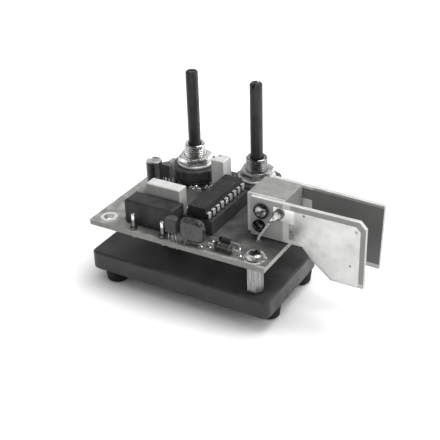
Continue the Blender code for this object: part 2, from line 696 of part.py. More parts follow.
def foil_outline(chamfer):
    """Outline of the tinned touch area: the blade, and a neck that reaches the stud."""
    length = PLATE_LENGTH - FOIL_MARGIN
    high = PLATE_TOP - FOIL_MARGIN
    low = PLATE_LIFT + FOIL_MARGIN
    slope = FOIL_MARGIN * FOIL_SLOPE_SHARE
    corner = chamfer * FOIL_CHAMFER_SHARE
    return [(FOIL_START, low), (PLATE_HAUNCH + slope, low),
            (PLATE_KNEE + slope, FOIL_MARGIN - PLATE_KNEE_DROP),
            (PLATE_BLADE + slope, FOIL_MARGIN - PLATE_DROP), (length, FOIL_MARGIN - PLATE_DROP),
            (length, high - corner), (length - corner, high),
            (FOIL_START - FOIL_NECK_LENGTH, high), (FOIL_START - FOIL_NECK_LENGTH, FOIL_NECK_LOW),
            (FOIL_START, FOIL_NECK_LOW)]


def sagged(outline, angle):
    """Turn an outline of length and height about the plate's screws, its free end downwards."""
    points = []
    for x, z in outline:
        along = x - PLATE_PIVOT[0]
        rise = z - PLATE_PIVOT[1]
        points.append((PLATE_PIVOT[0] + along * math.cos(angle) + rise * math.sin(angle),
                       PLATE_PIVOT[1] + rise * math.cos(angle) - along * math.sin(angle)))
    return points


def upright(outline, near, far):
    """Stand an outline of length and height up, from one depth to another."""
    bm = bmesh.new()
    skin(bm, [[bm.verts.new((x, y, z)) for x, z in outline] for y in (near, far)])
    return bm


def touch_plate(key, seat, outward, label, chamfer, sag):
    """Laminate plate with its tinned area on the outer face and holes for its fasteners."""
    face = outward * PLATE_THICKNESS
    plate = solid(label + "_plate", upright(sagged(plate_outline(chamfer), sag), 0.0, face),
                  TOUCH_LAMINATE, (PLATE_LEFT, seat, 0.0), key)
    foil = upright(sagged(foil_outline(chamfer), sag), face - outward * WELD_OVERRUN,
                   face + outward * FOIL_THICKNESS)
    weld(plate, foil, "foil")
    bores = bmesh.new()
    for (along, height), radius in ((UPPER_SCREW, PLATE_SCREW_RADIUS), (LOWER_SCREW, PLATE_SCREW_RADIUS),
                                    (STUD, STUD_RADIUS)):
        rim = [(along + a, height + b) for a, b in circle(radius + THREAD_GAP, SMALL_SIDES)]
        skin(bores, [[bores.verts.new((x, y, z)) for x, z in rim]
                     for y in (-outward * CUT_OVERRUN, face + outward * CUT_OVERRUN)])
    cut(plate, bores, "bores")


def plate_fasteners(key, face, turn, outward, label):
    """Two slotted screws, a contact stud, and the bare wire from the stud to the board."""
    shank = SEAT_GAP + PLATE_THICKNESS + SEAT_GAP + PLATE_SCREW_BITE
    for name, (along, height), radius, slot_turn in (
            ("upper", UPPER_SCREW, SLOT_HEAD_RADIUS, UPPER_SLOT_TURN),
            ("lower", LOWER_SCREW, LOWER_HEAD_RADIUS, LOWER_SLOT_TURN)):
        head = SLOT_HEAD_SIDE + SLOT_HEAD_CROWN
        profile = [(PLATE_SCREW_RADIUS, -shank), (PLATE_SCREW_RADIUS, 0.0), (radius, 0.0),
                   (radius, SLOT_HEAD_SIDE), (radius * SLOT_CROWN_SHARE, head)]
        place = (PLATE_LEFT + along, face + outward * SEAT_GAP, height)
        screw = solid(label + "_plate_screw_" + name, turned(profile, ROUND_SIDES), PLATED_STEEL,
                      place, key, turn)
        cut(screw, prism(rectangle(radius * SLOT_CUT_SHARE, SLOT_WIDTH, turn=slot_turn), head - SLOT_DEPTH,
                         head + CUT_OVERRUN))

    profile = [(STUD_RADIUS, -shank), (STUD_RADIUS, 0.0), (STUD_HEAD_RADIUS, 0.0),
               (STUD_HEAD_RADIUS, STUD_HEAD_SIDE), (STUD_TIP_RADIUS, STUD_HEAD_SIDE),
               (STUD_TIP_RADIUS, STUD_HEAD_SIDE + STUD_TIP_HEIGHT)]
    along, height = STUD
    seat = outward * (SEAT_GAP + FOIL_THICKNESS)
    solid(label + "_contact_stud", turned(profile, SMALL_SIDES), TINNED,
          (PLATE_LEFT + along, face + seat, height), key, turn)

    lane = outward * WIRE_OFFSET
    wire = bmesh.new()
    top = (STUD[0] - STUD_HEAD_RADIUS, STUD[1] - STUD_HEAD_RADIUS)
    path = [(top[0], lane, top[1]), (WIRE_FOOT_X, lane, WIRE_ELBOW_HEIGHT),
            (WIRE_FOOT_X, lane, BOARD_UNDERSIDE - LEAD_BELOW)]
    add_sweep(wire, path, circle(WIRE_RADIUS, LEAD_SIDES), (0.0, 1.0, 0.0))
    solid(label + "_touch_wire", wire, TINNED, (PLATE_LEFT, face, 0.0), key)
    drill((PLATE_LEFT, face), [(WIRE_FOOT_X, lane)], WIRE_RADIUS)


def pin_places():
    """Places of the chip's leads round its middle: side, x and y."""
    places = []
    for side in (-1, 1):
        for pin in range(PINS_PER_SIDE):
            places.append((side, side * ROW_SPACING / 2, (pin - (PINS_PER_SIDE - 1) / 2) * PIN_PITCH))
    return places


def chip_socket(key):
    """Open-frame socket: windows between its bridges, a pocket for each lead, tails below."""
    place = (*CHIP_CENTRE, SOCKET_LIFT)
    socket = solid("chip_socket", prism(rectangle(SOCKET_WIDTH, CHIP_LENGTH), 0.0, SOCKET_HEIGHT),
                   SATIN_BLACK, place, key)
    openings = bmesh.new()
    window = (CHIP_LENGTH - (SOCKET_WINDOWS + 1) * SOCKET_BRIDGE) / SOCKET_WINDOWS
    for index in range(SOCKET_WINDOWS):
        y = (index - (SOCKET_WINDOWS - 1) / 2) * (window + SOCKET_BRIDGE)
        outline = rectangle(SOCKET_WINDOW_WIDTH, window, (0.0, y))
        add_layers(openings, [(outline, -CUT_OVERRUN), (outline, SOCKET_HEIGHT + CUT_OVERRUN)])
    tails = bmesh.new()
    tail_foot = BOARD_UNDERSIDE - LEAD_BELOW - SOCKET_LIFT
    for side, x, y in pin_places():
        outline = rectangle(POCKET_LENGTH, POCKET_WIDTH, (x, y))
        add_layers(openings, [(outline, SOCKET_HEIGHT - POCKET_DEPTH),
                              (outline, SOCKET_HEIGHT + CUT_OVERRUN)])
        add_lead(tails, x, y, tail_foot, WELD_OVERRUN, TAIL_RADIUS)
    cut(socket, openings)
    weld(socket, tails, "tails")
    drill(CHIP_CENTRE, [(x, y) for side, x, y in pin_places()], TAIL_RADIUS)


def keyer_chip(key):
    """Dual in-line chip: a drafted body and formed leads that reach into the socket."""
    place = (*CHIP_CENTRE, CHIP_LOW)
    middle = CHIP_THICKNESS / 2
    small = rectangle(CHIP_WIDTH - 2 * CHIP_DRAFT, CHIP_LENGTH - 2 * CHIP_DRAFT)
    stack = [(small, 0.0), (rectangle(CHIP_WIDTH, CHIP_LENGTH), middle), (small, CHIP_THICKNESS)]
    chip = solid("keyer_chip", layers(stack), BLACK_MOULDING, place, key)
    notch = prism(circle(CHIP_NOTCH_RADIUS, SMALL_SIDES, (0.0, CHIP_LENGTH / 2)),
                  CHIP_THICKNESS - CHIP_NOTCH_DEPTH, CHIP_THICKNESS + CUT_OVERRUN)
    cut(chip, notch, "notch")
    leads = bmesh.new()
    wide = rectangle(LEAD_WIDTH, LEAD_THICKNESS)
    narrow = rectangle(LEAD_TIP_WIDTH, LEAD_THICKNESS)
    for side, x, y in pin_places():
        root = side * (CHIP_WIDTH / 2 - LEAD_ROOT)
        bend = middle - LEAD_WIDE_DROP
        path = [(root, y, middle), (x, y, middle), (x, y, bend), (x, y, bend - LEAD_TAPER),
                (x, y, bend - LEAD_TAPER - LEAD_TIP_LENGTH)]
        add_sweep(leads, path, [wide, wide, wide, narrow, narrow], (0.0, 1.0, 0.0))
    weld(chip, leads, "leads")


def boxed_part(key, name, size, centre, edge, leads, finish, leads_along_y=False):
    """A moulded box with softened top edges, on straight leads through the board."""
    width, depth, height = size
    small = rectangle(width - 2 * edge, depth - 2 * edge)
    full = rectangle(width, depth)
    body = solid(name, layers([(full, 0.0), (full, height - edge), (small, height)]), finish,
                 (*centre, BOX_LIFT), key)
    places = [(0.0, lead) if leads_along_y else (lead, 0.0) for lead in leads]
    add_leads(body, centre, places, BOX_LIFT, WELD_OVERRUN, BOX_LEAD_RADIUS)


def add_leads(body, centre, places, lift, root, radius):
    """Weld straight leads under a body whose origin stands at the given lift, and drill for them."""
    leads = bmesh.new()
    for x, y in places:
        add_lead(leads, x, y, BOARD_UNDERSIDE - LEAD_BELOW - lift, root, radius)
    weld(body, leads, "leads")
    drill(centre, places, radius)


def electrolytic_capacitor(key):
    """Round can with the crimp groove near its foot and a rim round its recessed top."""
    groove_low = CAN_GROOVE_RISE
    groove_high = groove_low + CAN_GROOVE_WIDTH
    waist = CAN_RADIUS - CAN_GROOVE_DEPTH
    inner = CAN_RADIUS - CAN_TOP_RIM
    profile = [(CAN_RADIUS, 0.0), (CAN_RADIUS, groove_low), (waist, (groove_low + groove_high) / 2),
               (CAN_RADIUS, groove_high), (CAN_RADIUS, CAN_HEIGHT - CAN_EDGE),
               (CAN_RADIUS - CAN_EDGE * CAN_CURL_SHARE, CAN_HEIGHT), (inner, CAN_HEIGHT),
               (inner - CAN_TOP_RECESS, CAN_HEIGHT - CAN_TOP_RECESS)]
    can = solid("electrolytic_capacitor", turned(profile, ROUND_SIDES), CAN_SLEEVE,
                (*CAN_CENTRE, BOX_LIFT), key)
    add_leads(can, CAN_CENTRE, [(0.0, lead) for lead in CAN_LEADS], BOX_LIFT, WELD_OVERRUN,
              BOX_LEAD_RADIUS)


def transistor(key, name, centre):
    """Small moulded body, round behind and flat in front, on three leads."""
    reach = math.acos(TRANSISTOR_FLAT / TRANSISTOR_RADIUS)
    start = reach - math.pi / 2
    full = arc(TRANSISTOR_RADIUS, start, math.pi - start, SMALL_SIDES)
    share = (TRANSISTOR_RADIUS - TRANSISTOR_EDGE) / TRANSISTOR_RADIUS
    small = [(x * share, y * share) for x, y in full]
    high = TRANSISTOR_HEIGHT
    body = solid(name, layers([(full, 0.0), (full, high - TRANSISTOR_EDGE), (small, high)]),
                 BLACK_MOULDING, (*centre, TRANSISTOR_LIFT), key)
    places = [(step * TRANSISTOR_PITCH, 0.0) for step in (-1, 0, 1)]
    add_leads(body, centre, places, TRANSISTOR_LIFT, WELD_OVERRUN, TRANSISTOR_LEAD_RADIUS)


def dipped_capacitor(key):
    """Resin-dipped capacitor: a flat rounded body with full edges, on two leads."""
    body = bmesh.new()
    rings = []
    for depth, inset in zip(DIPPED_DEPTH_SHARES, DIPPED_INSET_SHARES):
        shrink = DIPPED_ROUND * inset
        outline = rounded_rectangle(DIPPED_WIDTH - 2 * shrink, DIPPED_HEIGHT - 2 * shrink,
                                    DIPPED_CORNER - shrink)
        rings.append([body.verts.new((x, depth * DIPPED_THICKNESS, z + DIPPED_HEIGHT / 2))
                      for x, z in outline])
    skin(body, rings)
    dipped = solid("dipped_capacitor", body, DARK_DIP, (*DIPPED_CENTRE, DIPPED_LIFT), key)
    add_leads(dipped, DIPPED_CENTRE, [(lead, 0.0) for lead in DIPPED_LEADS], DIPPED_LIFT,
              DIPPED_ROUND, BOX_LEAD_RADIUS)


def axial_part(key, name, centre, profile, span, finish):
    """A lying round body with a bent lead at each end; the profile is half its length."""
    height = AXIAL_LIFT + max(radius for radius, length in profile)
    whole = [(radius, -length) for radius, length in reversed(profile)]
    whole += [(radius, length) for radius, length in profile if length > 0.0]
    rings = bmesh.new()
    skin(rings, [[rings.verts.new((along, y, height + z)) for y, z in circle(radius, SMALL_SIDES)]
                 for radius, along in whole])
    body = solid(name, rings, finish, (*centre, 0.0), key)
    half = span / 2
    foot = BOARD_UNDERSIDE - LEAD_BELOW
    lead = bmesh.new()
    add_sweep(lead, [(-half, 0.0, foot), (-half, 0.0, height), (half, 0.0, height), (half, 0.0, foot)],
              circle(AXIAL_LEAD_RADIUS, LEAD_SIDES), (0.0, 1.0, 0.0))
    weld(body, lead, "lead")
    drill(centre, [(-half, 0.0), (half, 0.0)], AXIAL_LEAD_RADIUS)


def axial_parts(key):
    half = DIODE_LENGTH / 2
    axial_part(key, "diode", DIODE_CENTRE,
               [(DIODE_RADIUS, half - DIODE_ROUND), (DIODE_RADIUS - DIODE_ROUND, half)],
               DIODE_SPAN, CLEAR_RED)
    half = RESISTOR_LENGTH / 2
    axial_part(key, "resistor", RESISTOR_CENTRE,
               [(RESISTOR_WAIST, half - RESISTOR_END - RESISTOR_ROUND),
                (RESISTOR_RADIUS, half - RESISTOR_END), (RESISTOR_RADIUS, half - RESISTOR_ROUND),
                (RESISTOR_RADIUS - RESISTOR_ROUND, half)],
               RESISTOR_SPAN, DARK_RESISTOR)


def terminal_pin(key, name, centre):
    """Turned pin with a collar that seats on the board."""
    low = BOARD_UNDERSIDE - LEAD_BELOW - TERMINAL_LIFT
    profile = [(TERMINAL_RADIUS, low), (TERMINAL_RADIUS, 0.0), (TERMINAL_COLLAR_RADIUS, 0.0),
               (TERMINAL_COLLAR_RADIUS, TERMINAL_COLLAR_HEIGHT),
               (TERMINAL_RADIUS, TERMINAL_COLLAR_HEIGHT),
               (TERMINAL_RADIUS, TERMINAL_HEIGHT - TERMINAL_TIP),
               (TERMINAL_RADIUS - TERMINAL_TIP, TERMINAL_HEIGHT)]
    solid(name, turned(profile, SMALL_SIDES), TINNED, (*centre, TERMINAL_LIFT), key)
    board_holes.append((*centre, TERMINAL_RADIUS + HOLE_CLEARANCE, SMALL_SIDES))


def control(key, side, x, turn):
    """Long-shaft rotary control: wafer and case on the board, bushing above, a turning shaft."""
    axis = empty(side + "_control", (x, CONTROL_Y, 0.0), key, turn)
    origin = (0.0, 0.0, 0.0)
    body_radius = CONTROL_RADIUS - RIB_THICKNESS

    wafer = solid(side + "_wafer", prism(circle(body_radius, FINE_SIDES), WAFER_LIFT, WAFER_TOP),
                  PHENOLIC, origin, axis)
    lugs = bmesh.new()
    section = rectangle(LUG_WIDTH, LUG_THICKNESS)
    height = WAFER_LIFT + WAFER_THICKNESS / 2
    places = []
    for step in (-1, 0, 1):
        lug_x = step * LUG_PITCH
        edge = math.sqrt(body_radius ** 2 - (abs(lug_x) + LUG_WIDTH / 2) ** 2)
        far = -body_radius - LUG_REACH
        places.append((lug_x, far))
        path = [(lug_x, LUG_ROOT - edge, height), (lug_x, far, height),
                (lug_x, far, BOARD_UNDERSIDE - LEAD_BELOW)]
        add_sweep(lugs, path, section, (1.0, 0.0, 0.0))
    weld(wafer, lugs, "lugs")
    cut(wafer, prism(circle(WAFER_BORE_RADIUS, SMALL_SIDES), WAFER_LIFT - CUT_OVERRUN,
                     WAFER_TOP + CUT_OVERRUN), "bore")
    for lug_x, lug_y in places:
        board_holes.append((x + lug_x * math.cos(turn) - lug_y * math.sin(turn),
                            CONTROL_Y + lug_x * math.sin(turn) + lug_y * math.cos(turn),
                            LUG_WIDTH / 2 + HOLE_CLEARANCE, SMALL_SIDES))

    case(axis, side, origin, body_radius)
    bushing(axis, side, origin)
    shaft_and_wiper(axis, side, origin)
    nut_and_washer(axis, side, origin)


def case(axis, side, origin, body_radius):
    """Moulded case, open below, with ribs down its side and a hole in its crown for the bushing."""
    wall = body_radius - CASE_WALL
    ceiling = CASE_TOP - CASE_CROWN
    neck = BUSHING_RADIUS - BUSHING_RELIEF + RUN_GAP
    profile = [(wall, CASE_LOW), (body_radius, CASE_LOW), (body_radius, CASE_TOP - CASE_EDGE),
               (body_radius - CASE_EDGE, CASE_TOP), (neck, CASE_TOP), (neck, ceiling), (wall, ceiling)]
    shell = solid(side + "_case", ring(profile, FINE_SIDES), BLACK_MOULDING, origin, axis)
    ribs = bmesh.new()
    half = math.asin(RIB_WIDTH / 2 / CONTROL_RADIUS)
    for rib in range(RIB_COUNT):
        middle = (rib + 0.5) * math.tau / RIB_COUNT
        outline = arc(CONTROL_RADIUS, middle - half, middle + half, 2)
        outline += arc(body_radius - CASE_WALL / 2, middle + half, middle - half, 2)
        add_layers(ribs, [(outline, CASE_LOW), (outline, CASE_TOP - CASE_EDGE)])
    weld(shell, ribs, "ribs")


def bushing(axis, side, origin):
    """Bushing with its flange under the case's crown and its thread above."""
    bore = SHAFT_RADIUS + RUN_GAP
    neck = BUSHING_RADIUS - BUSHING_RELIEF
    foot = CASE_TOP + BUSHING_RELIEF
    profile = [(bore, FLANGE_LOW), (FLANGE_RADIUS, FLANGE_LOW), (FLANGE_RADIUS, FLANGE_TOP),
               (neck, FLANGE_TOP), (neck, foot), (BUSHING_RADIUS, foot + BUSHING_RELIEF),
               (BUSHING_RADIUS, BUSHING_TOP - BUSHING_CHAMFER),
               (BUSHING_RADIUS - BUSHING_CHAMFER, BUSHING_TOP), (bore, BUSHING_TOP)]
    solid(side + "_bushing", ring(profile, FINE_SIDES), ZINC, origin, axis)


def shaft_and_wiper(axis, side, origin):
    """Turning shaft with its rotor and slotted tip, and the sprung wiper under the rotor."""
    top = BUSHING_TOP + SHAFT_REACH
    profile = [(ROTOR_RADIUS, ROTOR_LOW), (ROTOR_RADIUS, ROTOR_TOP), (SHAFT_RADIUS, ROTOR_TOP),
               (SHAFT_RADIUS, top - SHAFT_TIP_HEIGHT), (SHAFT_TIP_RADIUS, top)]
    shaft = solid(side + "_shaft", turned(profile, FINE_SIDES), SATIN_BLACK, origin, axis)
    cut(shaft, prism(rectangle(SHAFT_RADIUS * SHAFT_SLOT_SHARE, SHAFT_SLOT_WIDTH), top - SHAFT_SLOT_DEPTH,
                     top + CUT_OVERRUN))

    high = ROTOR_LOW - RUN_GAP - WIPER_THICKNESS / 2
    low = high - WIPER_DIP
    strip = rectangle(WIPER_WIDTH, WIPER_THICKNESS)
    path = [(0.0, -SHAFT_RADIUS, high), (0.0, SHAFT_RADIUS, high), (0.0, WIPER_LENGTH, low)]
    wiper = bmesh.new()
    add_sweep(wiper, path, strip, (1.0, 0.0, 0.0))
    solid(side + "_wiper", wiper, SPRING_BRASS, origin, axis)


def nut_and_washer(axis, side, origin):
    """Plain washer and hexagonal nut, run down on the case."""
    bore = BUSHING_RADIUS + THREAD_GAP
    low = CASE_TOP + SEAT_GAP
    high = low + WASHER_THICKNESS
    solid(side + "_washer", ring([(bore, low), (WASHER_RADIUS, low), (WASHER_RADIUS, high), (bore, high)],
                                 FINE_SIDES), PLATED_STEEL, origin, axis)
    low = high + SEAT_GAP
    high = low + NUT_THICKNESS
    small = hexagon(NUT_FLATS - 2 * NUT_CHAMFER, NUT_TURN)
    full = hexagon(NUT_FLATS, NUT_TURN)
    nut = solid(side + "_nut", layers([(small, low), (full, low + NUT_CHAMFER), (full, high - NUT_CHAMFER),
                                       (small, high)]), PLATED_STEEL, origin, axis)
    cut(nut, prism(circle(bore, FINE_SIDES), low - CUT_OVERRUN, high + CUT_OVERRUN))


def build():
    """Put the whole key together, the board last so that it gets every hole."""
    for thing in list(bpy.data.objects):
        bpy.data.objects.remove(thing, do_unlink=True)
    reach = max(x for x, z in plate_outline(FRONT_PLATE_CHAMFER)
                + sagged(plate_outline(REAR_PLATE_CHAMFER), REAR_PLATE_SAG))
    middle = ((BASE_LEFT + PLATE_LEFT + reach) / 2, (BASE_FRONT + BOARD_DEPTH) / 2)
    key = empty("touch_paddle_key", (-middle[0], -middle[1], -DESK))
    base_and_feet(key)
    supports(key)
    touch_assembly(key)
    chip_socket(key)
    keyer_chip(key)
    boxed_part(key, "reed_relay", RELAY_SIZE, RELAY_CENTRE, RELAY_EDGE, RELAY_LEADS, SATIN_BLACK)
    boxed_part(key, "film_capacitor", FILM_SIZE, FILM_CENTRE, FILM_EDGE, FILM_LEADS, GREY_FILM)
    boxed_part(key, "white_capacitor", WHITE_SIZE, WHITE_CENTRE, WHITE_EDGE, WHITE_LEADS, WHITE_FILM, True)
    electrolytic_capacitor(key)
    transistor(key, "rear_transistor", REAR_TRANSISTOR)
    transistor(key, "front_transistor", FRONT_TRANSISTOR)
    dipped_capacitor(key)
    axial_parts(key)
    terminal_pin(key, "terminal_pin_left", TERMINAL_LEFT)
    terminal_pin(key, "terminal_pin_right", TERMINAL_RIGHT)
    control(key, "left", LEFT_CONTROL_X, LEFT_CONTROL_TURN)
    control(key, "right", RIGHT_CONTROL_X, RIGHT_CONTROL_TURN)
    circuit_board(key)


build()
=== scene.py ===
"""Looks for the touch paddle key: finishes, threads, solder, traces, floor, room and camera."""

import math

import bmesh
import bpy
from mathutils import Matrix, Vector


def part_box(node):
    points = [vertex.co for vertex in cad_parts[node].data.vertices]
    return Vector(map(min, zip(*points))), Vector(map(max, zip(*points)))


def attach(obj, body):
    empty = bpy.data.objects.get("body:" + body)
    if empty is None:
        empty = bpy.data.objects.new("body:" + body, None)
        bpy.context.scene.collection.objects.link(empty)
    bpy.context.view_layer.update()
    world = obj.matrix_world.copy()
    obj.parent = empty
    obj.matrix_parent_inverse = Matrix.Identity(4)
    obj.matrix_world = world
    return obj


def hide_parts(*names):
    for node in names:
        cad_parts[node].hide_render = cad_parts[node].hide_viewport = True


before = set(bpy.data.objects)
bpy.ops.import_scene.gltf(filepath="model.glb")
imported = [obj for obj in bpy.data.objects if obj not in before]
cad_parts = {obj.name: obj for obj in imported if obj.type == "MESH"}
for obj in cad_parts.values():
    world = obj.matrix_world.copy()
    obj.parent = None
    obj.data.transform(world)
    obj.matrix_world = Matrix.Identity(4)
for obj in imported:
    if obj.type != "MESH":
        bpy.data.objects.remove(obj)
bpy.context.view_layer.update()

MM = 0.001
BODY = "key_body"

low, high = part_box("circuit_board")
ORIGIN = Vector((low.x, low.y, high.z))     # the board's front left corner, at its top face
BOARD = (high - low) / MM
UNDER = -BOARD.z

# Places in board millimetres: on the board as x and y, on the plates as x and z
BARE_HOLE = (4.4, 4.4)
CORNER_SCREW = (56.0, 4.0)
UPPER_SCREW = (52.7, 9.4)
LOWER_SCREW = (52.0, 4.3)
STUD = (58.2, 9.5)
CONTROLS_SPLIT = (22.0, 30.0)   # x between the left control and the right one, whose metal has painted shade

# Where a part's metal ends and its body begins, in board millimetres
LEAD_TOP = 0.28                 # below the boxes, the socket and the can
WIRE_TOP = 0.35                 # bent wires of the diode and the resistor
LEG_TOP = 2.98                  # transistors
DIP_TOP = 1.05                  # dipped capacitor
LUG_TOP = 0.39                  # controls
UNDER_BOARD_LEAD_SHADE = (-1.9, -1.5, 0.4, 1.0)  # painted shade: leads darker low in the board's holes and under it
CAN_END = (10.80, 10.90)        # the can's sleeve ends and its bare top begins
CHIP_HALF = 3.20                # half width of the chip's body
GLASS_HALF = 2.15               # half length of the diode's glass
LACQUER_HALF = 3.10             # half length of the resistor's body
WAFER_RADIUS = 7.62
HEAD_RADIUS = 1.75              # screw heads inside their rims; head and rim differ by painted reflection
SMALL_HEAD_RADIUS = 1.40        # lower plate screw's
BOSS_RADIUS = 1.05              # contact stud's
PAD_RADIUS = 2.65               # bare corner hole's pad
SEAT_RADIUS = 3.5               # tinned ring below the corner screw

TIN = (0.80, 0.80, 0.79)
CRISP = 0.04                    # half width of a crisp edge between two colours
SATIN = 0.29                    # least roughness of dull surfaces, below which specks appear
TO_COLOURS = (None,) * 5        # the mix node's inputs between its factor and its two colours


def at(x, y, z=0.0):
    """A point given in millimetres from the board's front left corner."""
    return ORIGIN + Vector((x, y, z)) * MM


def span(node):
    """Lowest and highest corner of a node, in millimetres from the board's corner."""
    lo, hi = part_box(node)
    return (lo - ORIGIN) / MM, (hi - ORIGIN) / MM


def middle(node):
    """Centre of a node's box, in millimetres from the board's corner."""
    lo, hi = span(node)
    return (lo + hi) / 2


def feed(tree, socket, value):
    """Link a socket, or set a plain value."""
    if isinstance(value, bpy.types.NodeSocket):
        tree.links.new(value, socket)
    elif socket.type == "RGBA":
        socket.default_value = (*value, 1.0)
    else:
        socket.default_value = value


def join(tree, kind, *values, **settings):
    """The outputs of a new node whose first inputs are fed in order; None leaves one as it is."""
    node = tree.nodes.new("ShaderNode" + kind)
    for name, value in settings.items():
        setattr(node, name, value)
    for socket, value in zip(node.inputs, values):
        if value is not None:
            feed(tree, socket, value)
    return node.outputs


class Look:
    """One material's node tree round a Principled shader, in millimetre coordinates."""

    def __init__(self, name):
        self.material = bpy.data.materials.new(name)
        self.material.use_nodes = True
        self.tree = self.material.node_tree
        self.tree.nodes.clear()
        self.shader = self.tree.nodes.new("ShaderNodeBsdfPrincipled")
        self.join("OutputMaterial", self.shader.outputs[0])
        coordinates = self.join("TexCoord")["Object"]
        self.place = self.join("Mapping", coordinates, -ORIGIN / MM, None, (1 / MM,) * 3)[0]
        self.x, self.y, self.z = self.join("SeparateXYZ", self.place)
        self.normals = self.join("NewGeometry")
        self.nx, self.ny, self.nz = self.join("SeparateXYZ", self.normals["True Normal"])

    def join(self, kind, *values, **settings):
        """The outputs of a new node in this look's tree."""
        return join(self.tree, kind, *values, **settings)

    def set(self, name, value):
        """Give one of the shader's own inputs its value."""
        feed(self.tree, self.shader.inputs[name], value)

    def math(self, operation, a, b=0.0, clamp=False):
        """One number worked out from two."""
        return self.join("Math", a, b, operation=operation, use_clamp=clamp)[0]

    def both(self, first, *others):
        """The product of masks."""
        for other in others:
            first = self.math("MULTIPLY", first, other)
        return first

    def either(self, first, *others):
        """The largest of masks."""
        for other in others:
            first = self.math("MAXIMUM", first, other)
        return first

    def rest(self, mask):
        """What is left of a mask."""
        return self.math("SUBTRACT", 1.0, mask)

    def less(self, a, b):
        """The first number less the second."""
        return self.math("SUBTRACT", a, b)

    def ramp(self, value, low_in, high_in, low_out=0.0, high_out=1.0, kind="SMOOTHSTEP"):
        """Map a value from one span to another, held at the ends."""
        return self.join("MapRange", value, low_in, high_in, low_out, high_out,
                         interpolation_type=kind)[0]

    def faces(self, normal):
        """1 on faces that look along one part of the normal."""
        return self.ramp(normal, 0.4, 0.7)

    def broad(self, normal):
        """1 on faces that look along one part of the normal, forward or backward."""
        return self.faces(self.math("ABSOLUTE", normal))

    def where(self, mask, factor):
        """A factor on a mask, and 1 off it."""
        return self.ramp(mask, 0.0, 1.0, 1.0, factor)

    def below(self, height):
        """1 under a height, for leads that come out under a body."""
        return self.math("LESS_THAN", self.z, height)

    def above(self, height):
        """1 over a height."""
        return self.math("GREATER_THAN", self.z, height)

    def past(self, value, limit):
        """1 past a limit, with a crisp edge."""
        return self.ramp(value, limit - CRISP, limit + CRISP)

    def short(self, value, limit):
        """1 short of a limit, with a crisp edge."""
        return self.ramp(value, limit + CRISP, limit - CRISP)

    def within(self, value, centre, half, soft=0.05):
        """1 where a value lies within a half width of a centre."""
        away = self.math("ABSOLUTE", self.less(value, centre))
        return self.ramp(away, half + soft, half - soft)

    def spot(self, a, b, centre, radius, soft):
        """1 within a radius of a point on the plane of two coordinates."""
        da = self.less(a, centre[0])
        db = self.less(b, centre[1])
        squares = self.math("ADD", self.both(da, da), self.both(db, db))
        return self.ramp(self.math("SQRT", squares), radius + soft, radius - soft)

    def stretched(self, stretch, shift):
        """The place, scaled along each axis and moved, for a texture."""
        away = (shift, shift * 0.7, shift * 1.3)
        return self.join("Mapping", self.place, away, None, stretch)[0]

    def noise(self, scale, detail=3.0, stretch=(1.0, 1.0, 1.0), shift=0.0):
        """Noise between about 0 and 1, with the scale in cycles for each millimetre."""
        return self.join("TexNoise", self.stretched(stretch, shift), None, scale, detail)["Fac"]

    def cells(self, scale, shift):
        """Distance to the nearest of scattered points, for specks."""
        place = self.stretched((1.0, 1.0, 1.0), shift)
        return self.join("TexVoronoi", place, None, scale)["Distance"]

    def mix(self, share, a, b, kind="MIX"):
        """Mix two colours."""
        return self.join("Mix", share, *TO_COLOURS, a, b, data_type="RGBA", blend_type=kind)[2]

    def blend(self, share, a, b):
        """Mix two numbers."""
        return self.join("Mix", share, None, a, b)[0]

    def shade(self, colour, factor):
        """Multiply a colour by a number."""
        grey = self.join("CombineColor", factor, factor, factor)[0]
        return self.mix(1.0, colour, grey, "MULTIPLY")

    def varied(self, colour, value, darkest, lightest, low=0.35, high=0.65):
        """A colour that goes from darkest to lightest as a value goes from low to high."""
        return self.shade(colour, self.ramp(value, low, high, darkest, lightest))

    def shelter(self, reach):
        """1 in the open and 0 in corners closer than a reach in millimetres."""
        return self.join("AmbientOcclusion", None, reach * MM, samples=4)["AO"]

    def edges(self, radius):
        """A normal with rounded edges, and a mask that is 1 along them."""
        rounded = self.join("Bevel", radius * MM, samples=4)[0]
        across = self.join("VectorMath", rounded, self.normals["Normal"], operation="DOT_PRODUCT")
        return rounded, self.ramp(across["Value"], 0.98, 0.80)

    def bump(self, height, depth, normal=None):
        """Raise the surface by a height from 0 to 1 times a depth in millimetres."""
        node = self.tree.nodes.new("ShaderNodeBump")
        node.inputs["Distance"].default_value = depth * MM
        feed(self.tree, node.inputs["Height"], height)
        if normal is not None:
            feed(self.tree, node.inputs["Normal"], normal)
        return node.outputs[0]


